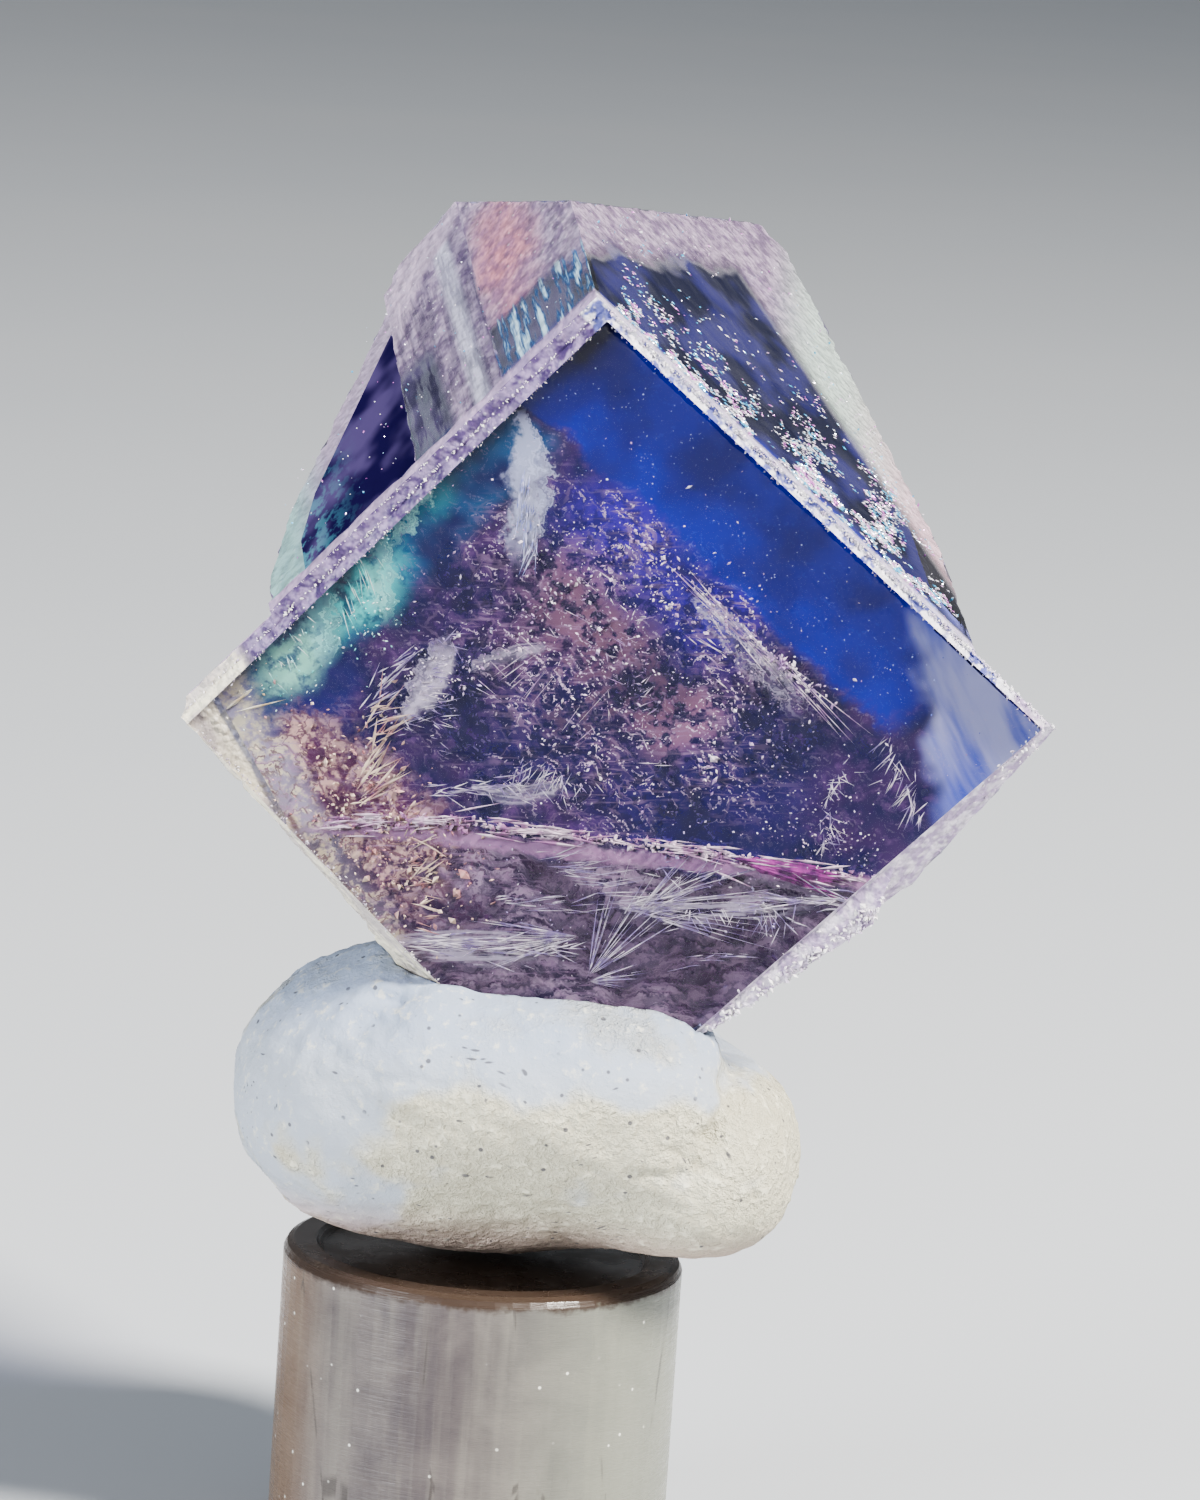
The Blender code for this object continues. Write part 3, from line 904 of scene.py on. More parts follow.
def zone_material(shell):
    """A shell of colour: part of the light passes straight on, the rest shows the zone's colour."""
    shader = Shader(shell["name"] + "_colour")
    painter = ZonePainter(shader, shader.place())
    colour, solid = painter.paint(shell["navy"], shell["detailed"])
    least, most = shell["see_through"] - SHELL_VARIES, shell["see_through"] + SHELL_VARIES
    see = shader.ramp(painter.clouds, 0.35, 0.65, most, least)
    near = shader.ramp(painter.depth, 0.6, 3.0, 1.0, 0.35)
    see = shader.times(see, shader.minus(1.0, solid, clamp=True), near)
    surface = shader.principled(Base_Color=colour, Roughness=0.0, IOR=1.0, Transmission_Weight=see)
    return shader.finish(surface, SHELL_LAMP_TINT, SHELL_ABSORB)


def build_zones():
    """Nested shells of colour that follow the crystal's faces from the inside."""
    for shell in ZONE_SHELLS:
        depths = {name: shell["upper"] for name in UPPER_FACES}
        depths.update({name: shell["rear"] for name in REAR_FACES})
        depths["behind_front"] = shell["front"] - LEDGE_START
        depths["front"] = shell["front"]
        depths["upper_left_bevel"] = depths["upper_right_bevel"] = shell["upper"] * 0.6
        depths["left_undercut"] = depths["right_undercut"] = shell["other"] * 0.35
        for name in PLATE_FACES:
            if name.startswith("lower"):
                depths[name] = shell["other"] * 0.7
        core = object_from_bmesh(shell["name"], convex_from_faces(inset(BODY_FACES, shell["other"], depths)))
        if shell["front"] < PLATE_DEPTH / 2:
            plate = convex_from_faces(inset(PLATE_FACES, shell["other"], depths))
            apply_boolean(core, object_from_bmesh("plate_zone", plate), "UNION")
        core.data.transform(CRYSTAL_PLACE)
        core.data.materials.clear()
        core.data.materials.append(zone_material(shell))
        part_piece(core, "fluorite")


class Inclusions:
    """Many small closed shapes joined in one mesh, laid out in P, Q, R millimetres."""

    def __init__(self, seed):
        self.body = bmesh.new()
        self.random = random.Random(seed)

    def blade(self, start, end, width, thickness, belly=0.4, flat=Vector((0.0, 0.0, 1.0))):
        """A thin pointed splinter from start to end."""
        along = (end - start).normalized()
        across = along.cross(flat)
        if across.length < 0.1:
            across = along.orthogonal()
        across.normalize()
        deep = along.cross(across)
        middle = start.lerp(end, belly)
        ring = [
            middle + across * width / 2, middle + deep * thickness / 2,
            middle - across * width / 2, middle - deep * thickness / 2,
        ]
        self.hull(start, ring, end)

    def hull(self, start, ring, end):
        first = self.body.verts.new(start)
        last = self.body.verts.new(end)
        middle = [self.body.verts.new(spot) for spot in ring]
        for index, vertex in enumerate(middle):
            following = middle[(index + 1) % len(middle)]
            self.body.faces.new((first, vertex, following))
            self.body.faces.new((last, following, vertex))

    def flake(self, centre, size, flatness=0.45):
        """A turned, squashed eight-sided grain."""
        rand = self.random
        tumble = Matrix.Rotation(rand.uniform(0, math.tau), 3, "X")
        turn = tumble @ Matrix.Rotation(rand.uniform(0, math.tau), 3, "Y")
        x = turn @ Vector((size / 2, 0, 0)) * rand.uniform(0.7, 1.3)
        y = turn @ Vector((0, size / 2, 0)) * rand.uniform(0.5, 1.1)
        z = turn @ Vector((0, 0, size / 2)) * flatness
        self.hull(centre - z, [centre + x, centre + y, centre - x, centre - y], centre + z)

    def fan(self, root, angles, lengths, count, width, depth, lean=0.25, curl=0.0):
        """Splinters that spread from a root on the front face; angles are from P towards Q."""
        rand = self.random
        for _ in range(count):
            angle = math.radians(rand.uniform(*angles))
            length = rand.uniform(*lengths)
            begin = rand.uniform(0.0, 0.35) * length
            low = rand.uniform(*depth)
            high = max(0.25, low + rand.uniform(-lean, lean) * length)
            bent = angle + curl * rand.uniform(0.5, 1.0)
            start = seen_at(root[0] + begin * math.cos(angle), root[1] + begin * math.sin(angle), low)
            end = seen_at(root[0] + length * math.cos(bent), root[1] + length * math.sin(bent), high)
            if inside(start, 0.15) and inside(end, 0.15):
                self.blade(start, end, width * rand.uniform(0.5, 1.4), width * rand.uniform(0.15, 0.4))

    def brush(self, first, second, angle, spread, lengths, count, width, depth=(0.17, 0.6)):
        """Fine bristles that grow from a line on the front face, all about the same way."""
        rand = self.random
        for _ in range(count):
            part = rand.random()
            p = first[0] + (second[0] - first[0]) * part + rand.gauss(0, 0.12)
            q = first[1] + (second[1] - first[1]) * part + rand.gauss(0, 0.12)
            turn = math.radians(rand.gauss(angle, spread))
            length = rand.uniform(*lengths)
            low = rand.uniform(*depth)
            high = min(max(0.17, low + rand.uniform(-0.2, 0.2)), depth[1] + 0.3)
            start = seen_at(p, q, low)
            end = seen_at(p + length * math.cos(turn), q + length * math.sin(turn), high)
            if inside(start, 0.12) and inside(end, 0.12):
                wide, thick = width * rand.uniform(0.5, 1.5), width * rand.uniform(0.2, 0.5)
                self.blade(start, end, wide, thick, rand.uniform(0.2, 0.5))

    def line(self, spots, depth, step, size, scatter):
        """Grains strung along a broken line on the front face."""
        rand = self.random
        for first, second in zip(spots, spots[1:]):
            reach = math.hypot(second[0] - first[0], second[1] - first[1])
            for index in range(int(reach / step)):
                part = (index + rand.random()) * step / reach
                p = first[0] + (second[0] - first[0]) * part + rand.gauss(0, scatter)
                q = first[1] + (second[1] - first[1]) * part + rand.gauss(0, scatter)
                centre = seen_at(p, q, rand.uniform(*depth))
                if inside(centre, 0.15):
                    self.flake(centre, size * rand.uniform(0.5, 1.5))

    def cloud(self, middle, spread, depth, count, size):
        """Grains scattered in an oval on the front face."""
        rand = self.random
        for _ in range(count):
            p = rand.gauss(middle[0], spread[0])
            q = rand.gauss(middle[1], spread[1])
            centre = seen_at(p, q, rand.uniform(*depth))
            if inside(centre, 0.15):
                self.flake(centre, size * rand.uniform(0.18, 0.7))

    def finish(self, name, material):
        bmesh.ops.recalc_face_normals(self.body, faces=self.body.faces[:])
        part_piece(object_from_bmesh(name, self.body, CRYSTAL_PLACE, [material]), "fluorite")

    def finish_grains(self, name, look, dark, light, **looks):
        self.finish(name, grain_material(look, srgb(*dark), srgb(*light), **looks))


def grain_material(name, dark, light, scale=3.0, roughness=0.35):
    """Broken crystal inside the crystal: matte to satin, mottled between two colours."""
    shader = Shader(name)
    place = shader.place()
    grain = shader.noise(place, scale, 2.0)
    colour = shader.mix(shader.ramp(grain, 0.38, 0.62), dark, light)
    rough = shader.ramp(grain, 0.3, 0.7, roughness, roughness + 0.2)
    return shader.finish(shader.principled(Base_Color=colour, Roughness=rough))


def glitter_material():
    """Tiny etched steps that catch the light in white, lilac and cyan."""
    shader = Shader("etch_glitter_colour")
    place = shader.place()
    hue = shader.noise(place, 4.0, 2.0)
    colour = shader.mix(shader.ramp(hue, 0.38, 0.48), srgb(90, 190, 236), srgb(246, 244, 252))
    colour = shader.mix(shader.ramp(hue, 0.53, 0.62), colour, srgb(214, 128, 214))
    rough = shader.ramp(hue, 0.3, 0.7, 0.12, 0.35)
    return shader.finish(shader.principled(Base_Color=colour, Roughness=rough, Metallic=0.35))


def rim_distance(point, names):
    """How far a place in P, Q, R lies inside the nearest of the named faces."""
    faces = [BODY_FACES[name] for name in names]
    return min((limit - Vector(weights).dot(point)) / Vector(weights).length for weights, limit in faces)


GLITTER_BLADES = 3600
BLADE_CORNERS = 6
LEFT_GRAINS = 260
RIM_GRAINS = 420


def build_glitter():
    """Etched steps on the upper right face, thickest by the front edge and low on the right."""
    glitter = Inclusions(31)
    rand = glitter.random
    while len(glitter.body.verts) < GLITTER_BLADES * BLADE_CORNERS:
        p = rand.uniform(0.6, 15.6)
        near_right = max(0.0, min(1.0, (p - 4.0) / 9.0))
        depth = 0.5 + rand.expovariate(1.0 / (1.1 + 1.7 * near_right))
        centre = Vector((p, -RIGHT_SLOPE * depth + 0.03, depth))
        keep = 0.35 + 0.65 * near_right
        patch = 0.5 + 0.5 * noise.noise(Vector((p * 0.8, 3.0, depth * 1.1)))
        fine_patch = 0.5 + 0.5 * noise.noise(Vector((p * 3.1, 8.0, depth * 2.2)))
        if depth > 11 or rand.random() > keep or patch + 0.6 * fine_patch < 0.70 + 0.3 * rand.random():
            continue
        if rim_distance(centre, RIGHT_RIM) < 0.3 + rand.random() * 0.8:
            continue
        lean = rand.gauss(0.5, 0.25)
        reach = rand.uniform(0.03, 0.12)
        move = Vector((math.cos(lean), 0.0, math.sin(lean))) * reach
        width = rand.uniform(0.02, 0.06)
        glitter.blade(centre - move, centre + move, width, 0.05, 0.5, Vector((0.0, 1.0, 0.0)))
    for _ in range(LEFT_GRAINS):
        depth = rand.uniform(1.0, 9.0)
        centre = Vector((-LEFT_SLOPE * depth + 0.03, rand.uniform(0.2, 13.0), depth))
        if rim_distance(centre, LEFT_RIM) > 0.2:
            glitter.flake(centre, rand.uniform(0.03, 0.08))
    for _ in range(RIM_GRAINS):
        depth = rand.uniform(1.0, 13.0)
        centre = Vector((rand.uniform(-3.0, 15.0), -RIGHT_SLOPE * depth + 0.01, depth))
        if 0.02 < rim_distance(centre, RIGHT_RIM) < 1.6 and inside(centre, -0.05):
            glitter.flake(centre, rand.uniform(0.04, 0.13))
    glitter.finish("etch_glitter", glitter_material())


def build_edge_beads():
    """Small bright chips strung along the crystal's front edges."""
    beads = Inclusions(32)
    rand = beads.random
    edges = (
        ((0.55, 0.5, 0.02), (0.55, 14.6, 0.02), 250, 0.07, 0.03),
        ((0.30, 0.4, 0.12), (0.30, 14.4, 0.12), 260, 0.07, 0.02),
        ((0.02, 0.3, 0.14), (0.02, 14.4, 0.14), 200, 0.05, 0.015),
        ((0.6, 0.26, 0.02), (15.2, 0.26, 0.02), 280, 0.07, 0.03),
        ((0.4, 0.07, 0.12), (15.6, 0.07, 0.12), 620, 0.08, 0.03),
        ((15.05, 0.6, 0.03), (15.9, 9.8, 0.03), 420, 0.12, 0.09),
        ((15.35, 0.6, 0.30), (16.1, 9.6, 0.30), 300, 0.12, 0.09),
        ((0.8, 14.45, 0.06), (9.6, 15.2, 0.06), 200, 0.07, 0.04),
        ((15.5, 6.6, 0.10), (14.9, 13.0, 0.10), 420, 0.16, 0.13),
        ((15.6, 6.6, 0.5), (14.9, 12.9, 0.5), 300, 0.18, 0.16),
        ((15.6, 3.0, 0.15), (15.6, 7.0, 0.15), 200, 0.10, 0.12),
    )
    for first, second, count, size, scatter in edges:
        for _ in range(count):
            spot = Vector(first).lerp(Vector(second), rand.random())
            spot += Vector((rand.gauss(0, scatter), rand.gauss(0, scatter), abs(rand.gauss(0, scatter))))
            if inside(spot, -0.02):
                beads.flake(spot, size * rand.uniform(0.4, 1.5))
    colours = (206, 190, 214), (255, 252, 250)
    beads.finish_grains("edge_beads", "bead_white", *colours, scale=5.0, roughness=0.25)


def add_specks():
    """Blue specks in the slab and lilac ones in and around the core."""
    blue = Inclusions(11)
    blue.cloud((6.5, 1.6), (3.4, 0.8), (0.15, 0.5), 320, 0.08)
    blue.cloud((2.2, 1.8), (1.2, 0.8), (0.15, 0.5), 90, 0.08)
    blue.cloud((11.0, 1.8), (1.0, 0.8), (0.15, 0.5), 60, 0.09)
    blue.finish_grains("blue_specks", "speck_blue", (60, 90, 220), (170, 190, 250))

    lilac = Inclusions(12)
    cloud, line, brush = lilac.cloud, lilac.line, lilac.brush
    cloud((6.8, 6.4), (2.4, 2.0), (0.15, 0.7), 1500, 0.11)
    cloud((7.2, 6.0), (2.2, 1.8), (0.15, 0.5), 260, 0.24)
    cloud((13.4, 6.0), (0.8, 0.9), (0.2, 0.6), 420, 0.14)
    cloud((6.6, 4.2), (0.12, 0.12), (0.15, 0.4), 16, 0.3)
    cloud((9.5, 3.4), (0.2, 0.1), (0.15, 0.4), 20, 0.34)
    cloud((10.1, 6.6), (0.14, 0.14), (0.15, 0.4), 14, 0.34)
    cloud((4.6, 4.4), (1.0, 0.7), (0.15, 0.5), 260, 0.10)
    cloud((9.6, 5.0), (1.4, 1.0), (0.15, 0.5), 240, 0.11)
    line([(4.45, 9.8), (4.45, 7.0), (4.5, 5.6), (4.6, 4.2), (4.9, 3.7)], (0.18, 0.4), 0.06, 0.09, 0.12)
    line([(4.9, 3.7), (6.8, 3.5), (9.0, 3.5), (11.0, 3.2)], (0.18, 0.4), 0.05, 0.11, 0.12)
    slab_side = [(10.15, 3.2), (11.0, 4.0), (11.8, 5.1), (12.4, 5.9), (12.9, 6.5)]
    line(slab_side, (0.4, 0.8), 0.06, 0.13, 0.07)
    brush((5.6, 3.5), (10.4, 3.5), 4, 5, (0.4, 2.6), 60, 0.022)
    brush((4.4, 9.0), (4.8, 4.6), -8, 12, (0.3, 1.3), 20, 0.018)
    brush((4.6, 8.6), (7.6, 8.2), -84, 9, (0.3, 1.6), 16, 0.016)
    brush((6.0, 5.0), (9.4, 8.0), -70, 30, (0.15, 0.6), 40, 0.022)
    brush((5.0, 4.4), (8.4, 8.6), 20, 40, (0.1, 0.5), 50, 0.022)
    brush((7.3, 4.4), (8.8, 4.7), 0, 8, (0.3, 1.2), 20, 0.031)
    brush((9.0, 3.4), (10.0, 3.4), 0, 8, (0.3, 1.0), 16, 0.031)
    lilac.finish_grains("lilac_specks", "speck_lilac", (176, 136, 190), (255, 242, 248))


def add_feathers():
    """The tall feather, and the white ones that spread from the core, the crack and the foot."""
    tall = Inclusions(13)
    tall.brush((1.6, 4.0), (3.0, 5.4), 50, 7, (0.3, 1.2), 46, 0.037)
    tall.brush((2.2, 4.6), (3.4, 5.6), 62, 14, (0.2, 1.0), 40, 0.031)
    tall.finish_grains("tall_feather", "feather_lilac", (130, 140, 214), (216, 218, 246))

    feathers = Inclusions(14)
    brush, cloud, fan = feathers.brush, feathers.cloud, feathers.fan
    brush((3.3, 8.4), (4.3, 11.2), -38, 26, (0.15, 0.7), 80, 0.026)
    brush((4.0, 9.6), (5.2, 10.8), -30, 24, (0.15, 0.6), 40, 0.024)
    cloud((3.7, 9.4), (0.35, 0.7), (0.2, 0.6), 160, 0.2)
    cloud((3.0, 5.4), (0.5, 0.5), (0.2, 0.6), 60, 0.16)
    brush((2.9, 9.6), (3.4, 11.6), -85, 16, (0.2, 1.0), 48, 0.037)
    brush((6.6, 10.8), (8.4, 8.8), 20, 24, (0.15, 0.6), 56, 0.028)
    brush((6.8, 9.6), (7.8, 9.0), 75, 16, (0.2, 0.9), 36, 0.028)
    brush((5.4, 12.0), (7.0, 10.4), -50, 18, (0.2, 1.0), 48, 0.028)
    fan((11.2, 10.6), (-68, -24), (0.5, 4.4), 70, 0.027, (0.17, 0.6))
    fan((11.6, 10.7), (-100, -60), (0.5, 2.6), 44, 0.027, (0.17, 0.6))
    brush((10.8, 9.6), (12.2, 8.4), -60, 40, (0.15, 0.7), 56, 0.025)
    brush((7.9, 15.2), (9.8, 13.4), -44, 7, (0.4, 1.9), 64, 0.037)
    brush((9.4, 14.4), (11.0, 12.4), -50, 20, (0.2, 1.0), 48, 0.031)
    brush((12.6, 3.0), (14.6, 3.8), 70, 24, (0.2, 0.9), 72, 0.028)
    brush((12.2, 4.4), (13.6, 6.2), 10, 50, (0.15, 0.6), 72, 0.025)
    brush((13.6, 8.2), (15.4, 6.2), 140, 14, (0.3, 1.5), 64, 0.037)
    brush((12.4, 9.6), (14.4, 7.8), 30, 30, (0.15, 0.7), 56, 0.031)
    fan((11.9, 12.5), (-128, -72), (0.6, 3.4), 60, 0.024, (0.17, 0.6))
    fan((11.0, 11.9), (112, 150), (0.4, 2.8), 60, 0.024, (0.17, 0.6))
    fan((12.0, 12.6), (-70, -30), (0.3, 1.6), 36, 0.024, (0.17, 0.6))
    brush((8.6, 11.2), (12.4, 10.2), -45, 10, (0.3, 1.8), 70, 0.022)
    brush((8.8, 12.8), (10.6, 11.2), -48, 8, (0.3, 1.4), 40, 0.022)
    brush((13.4, 10.4), (14.4, 9.2), 130, 12, (0.2, 1.2), 18, 0.02)
    cloud((12.8, 8.6), (1.0, 0.6), (0.2, 0.6), 90, 0.18)
    cloud((9.6, 11.6), (1.2, 1.0), (0.2, 0.6), 120, 0.12)
    feathers.finish_grains("white_feathers", "feather_white", (150, 130, 184), (244, 234, 244))


def add_mint_shards_and_caustic():
    """Mint streaks on the upper left, and broken shards low on the left whose peach and white colour is
    painted light focused through the crystal.
    """
    mint = Inclusions(20)
    mint.brush((0.6, 8.2), (1.0, 9.6), 28, 7, (0.3, 1.1), 22, 0.03)
    mint.brush((0.6, 10.4), (1.2, 12.2), 14, 12, (0.2, 0.8), 22, 0.03)
    mint.cloud((0.45, 7.66), (0.14, 0.18), (0.2, 0.5), 40, 0.2)
    mint.cloud((1.9, 9.7), (0.5, 0.5), (0.2, 0.5), 90, 0.16)
    mint.cloud((1.3, 11.6), (0.5, 0.7), (0.2, 0.5), 90, 0.13)
    mint.finish_grains("mint_streaks", "streak_mint", (120, 226, 220), (236, 255, 246))

    # Broken shards, coloured peach and white as painted light focused through the crystal
    shards_and_painted_caustic = Inclusions(15)
    cloud, brush = shards_and_painted_caustic.cloud, shards_and_painted_caustic.brush
    cloud((4.1, 12.9), (1.1, 0.8), (0.25, 0.7), 420, 0.2)
    cloud((7.4, 13.2), (0.9, 0.7), (0.25, 0.7), 260, 0.24)
    cloud((5.6, 13.6), (0.8, 0.6), (0.25, 0.7), 160, 0.18)
    cloud((6.6, 13.3), (1.0, 0.8), (0.3, 0.6), 36, 0.5)
    cloud((3.8, 12.4), (0.8, 0.8), (0.3, 0.6), 26, 0.4)
    brush((3.2, 10.8), (5.0, 13.2), -80, 20, (0.3, 1.3), 72, 0.056)
    brush((5.8, 12.6), (8.2, 14.4), -60, 30, (0.2, 0.9), 64, 0.050)
    shards_and_painted_caustic.finish_grains("peach_shards_painted_caustic", "shards_painted_caustic_peach", (188, 128, 130), (252, 226, 200), scale=1.6)


def add_crack():
    """The bright band along the crack, and the pink, magenta and gold spots."""
    band = Inclusions(16)
    crack = [(4.6, 14.2), (6.7, 11.95), (8.8, 10.3), (11.5, 8.25), (14.4, 6.3), (15.4, 5.6)]
    band.line(crack, (0.3, 0.8), 0.012, 0.17, 0.09)
    band.line(crack, (0.8, 2.4), 0.02, 0.2, 0.12)
    for first, second in zip(crack, crack[1:]):
        angle = math.degrees(math.atan2(second[1] - first[1], second[0] - first[0]))
        band.brush(first, second, angle, 6, (0.3, 1.3), 70, 0.07, (0.17, 0.7))
    band.finish_grains("crack_band", "band_pink", (176, 120, 168), (246, 222, 236))

    pink = Inclusions(17)
    pink.cloud((8.8, 6.3), (0.7, 0.6), (0.5, 1.4), 150, 0.16)
    pink.cloud((14.6, 2.2), (0.4, 0.8), (0.35, 0.9), 60, 0.10)
    pink.finish_grains("pink_inclusion", "inclusion_pink", (170, 110, 160), (238, 196, 220))

    magenta = Inclusions(18)
    magenta.fan((12.2, 7.8), (-40, -22), (0.8, 3.0), 36, 0.22, (0.18, 0.4), 0.05)
    magenta.cloud((11.9, 9.0), (0.8, 0.5), (0.5, 1.6), 60, 0.2)
    magenta.finish_grains("magenta_lens", "lens_magenta", (92, 20, 96), (168, 60, 150))

    gold = Inclusions(19)
    gold.cloud((1.1, 13.3), (0.35, 0.7), (0.3, 0.7), 90, 0.12)
    gold.fan((0.9, 13.9), (-100, -50), (0.5, 2.0), 30, 0.10, (0.3, 0.7), 0.05)
    gold.finish_grains("gold_streaks", "streak_gold", (216, 190, 140), (255, 250, 226))


def build_inclusions():
    """Specks, feathers, cracks and broken shards with painted focused light on them, each at the spot where
    the photograph shows it.
    """
    add_specks()
    add_feathers()
    add_mint_shards_and_caustic()
    add_crack()


PUTTY_CENTRE = Vector((0.4, -0.4, 11.6))
PUTTY_RINGS = 168
PUTTY_SEGMENTS = 270
PUTTY_BLEND = 0.55
PUTTY_LUMPS = (
    ((0.3, 0.4, 11.2), (6.0, 4.9, 3.6)),
    ((-3.0, -1.0, 11.9), (3.4, 3.9, 3.3)),
    ((-1.7, -2.2, 13.9), (2.0, 2.5, 1.9)),
    ((5.2, -1.2, 10.9), (2.4, 3.1, 2.3)),
    ((1.2, -3.9, 12.8), (4.0, 2.1, 2.2)),
    ((3.7, -3.0, 12.9), (1.6, 1.9, 2.0)),
    ((1.6, 4.0, 12.7), (3.6, 2.6, 3.1)),
    ((5.1, -2.9, 10.4), (1.8, 1.9, 1.5)),
)


# Creases pressed in the putty's front: two ends in X and Z, depth and half width
PUTTY_CREASES = (
    ((-2.3, 15.3), (-3.7, 14.0), 0.30, 0.22),
    ((6.2, 13.6), (5.1, 10.8), 0.28, 0.30),
    ((4.4, 11.9), (6.0, 11.1), 0.14, 0.12),
    ((4.7, 11.3), (6.2, 10.6), 0.12, 0.10),
    ((5.0, 12.3), (6.1, 11.8), 0.12, 0.10),
    ((-4.6, 13.2), (-2.1, 14.8), 0.16, 0.24),
    ((-1.7, 15.2), (-3.6, 14.8), 0.12, 0.16),
    ((-1.7, 15.4), (-3.1, 15.9), 0.12, 0.16),
    ((3.7, 11.1), (5.6, 11.2), 0.14, 0.13),
    ((4.9, 11.8), (5.9, 12.3), 0.14, 0.13),
    ((3.2, 10.5), (5.2, 10.2), 0.08, 0.14),
    ((5.7, 15.0), (5.9, 13.1), 0.26, 0.26),
    ((-1.5, 10.0), (2.6, 9.4), 0.05, 0.30),
)


def crease_depth(point):
    """How far the creases press the front of the putty in at a place."""
    if point.y > -0.5:
        return 0.0
    total = 0.0
    for (x1, z1), (x2, z2), depth, width in PUTTY_CREASES:
        run = Vector((x2 - x1, z2 - z1))
        away = Vector((point.x - x1, point.z - z1))
        part = max(0.0, min(1.0, away.dot(run) / run.length_squared))
        gap = (away - run * part).length + 0.12 * noise.noise(point * 2.0)
        fade = min(1.0, 4.0 * part + 0.3, 4.0 * (1.0 - part) + 0.3)
        total += depth * fade * math.exp(-((gap / width) ** 2))
    return total


def lump_distance(point, centre, radii):
    x = (point.x - centre[0]) / radii[0]
    y = (point.y - centre[1]) / radii[1]
    z = (point.z - centre[2]) / radii[2]
    return (math.sqrt(x * x + y * y + z * z) - 1.0) * min(radii)


def putty_distance(point):
    total = sum(math.exp(-lump_distance(point, *lump) / PUTTY_BLEND) for lump in PUTTY_LUMPS)
    return -PUTTY_BLEND * math.log(total)


def putty_reach(direction):
    near, far = 2.0, 8.5
    for _ in range(12):
        middle = (near + far) / 2
        if putty_distance(PUTTY_CENTRE + direction * middle) < 0:
            near = middle
        else:
            far = middle
    return near


def stretched(shader, place, scale, turn=(0.0, 0.0, 0.0)):
    """The place turned and squeezed, so that patterns come out drawn along a line."""
    mapping = shader.node("Mapping", None)
    shader.set(mapping.inputs["Vector"], place)
    mapping.inputs["Scale"].default_value = scale
    mapping.inputs["Rotation"].default_value = turn
    return mapping.outputs[0]


def putty_material():
    """Matte cream tack: crumbly in patches, with dark specks and short fibres pressed in; painted shade makes
    it blue-grey where smooth and towards the top, painted sunlight makes it cream where crumbly, and painted
    bounce light warms the bottom.
    """
    shader = Shader("putty_cream")
    mix, ramp, times, noise = shader.mix, shader.ramp, shader.times, shader.noise
    place = shader.place()
    height = shader.along(place, (0.0, 0.0, 1.0))
    broad = noise(place, 0.35, 3.0)
    crumbs = noise(place, 3.2, 4.0, 0.7)
    sideways = shader.along(place, (1.0, 0.0, 0.0))
    # The area low on the right is crumbly and carries painted sunlight; elsewhere the putty gets painted
    # blue-grey shade
    crumbly_sunlit_area = times(ramp(sideways, -3.6, -1.6), ramp(height, 13.4, 12.0))
    patchy = ramp(shader.fused(crumbly_sunlit_area, 0.26, broad), 0.50, 0.66, 0.15, 1.0)
    hollows = times(ramp(crumbs, 0.5, 0.3), patchy)
    chosen = noise(place, 1.1, 2.0)
    specks = ramp(shader.cells(place, 2.3), 0.17, 0.10)
    bent = shader.node("VectorMath", {"operation": "MULTIPLY_ADD"}, i0=shader.swirl(place, 0.35))
    bent.inputs[1].default_value = (3.0, 3.0, 3.0)
    shader.set(bent.inputs[2], place)
    lying = stretched(shader, bent.outputs[0], (1.3, 4.6, 4.6), (0.5, 0.6, 0.9))
    fibres = ramp(shader.cells(lying, 1.0), 0.22, 0.12)
    dark = times(specks, ramp(chosen, 0.50, 0.58))
    dark = shader.most(dark, times(fibres, ramp(chosen, 0.48, 0.40)))
    colour = shader.layered(
        # painted shade in blue-grey where smooth, painted sunlight in cream where crumbly
        mix(patchy, srgb(172, 182, 198), srgb(218, 213, 190)),
        # painted shade: bluer towards the top, standing for the crystal's shadow and the sky
        (ramp(height, 12.6, 14.6, 0.0, 0.6), srgb(150, 166, 194)),
        # painted light: warmer towards the bottom, standing for light bounced up from the floor
        (ramp(height, 10.0, 8.4, 0.0, 0.7), srgb(208, 178, 168)),
        (times(hollows, 0.45), srgb(150, 140, 118)),
        (ramp(crumbs, 0.54, 0.72, 0.0, 0.6), srgb(232, 228, 208)),
        (times(dark, 0.85), (0.09, 0.09, 0.11)),
    )
    relief = times(ramp(crumbs, 0.34, 0.66), patchy)
    surface = shader.principled(
        Base_Color=colour,
        Roughness=ramp(crumbs, 0.3, 0.7, 0.62, 0.88),
        Normal=shader.bump(relief, 0.09, 1.0),
    )
    return shader.finish(surface)


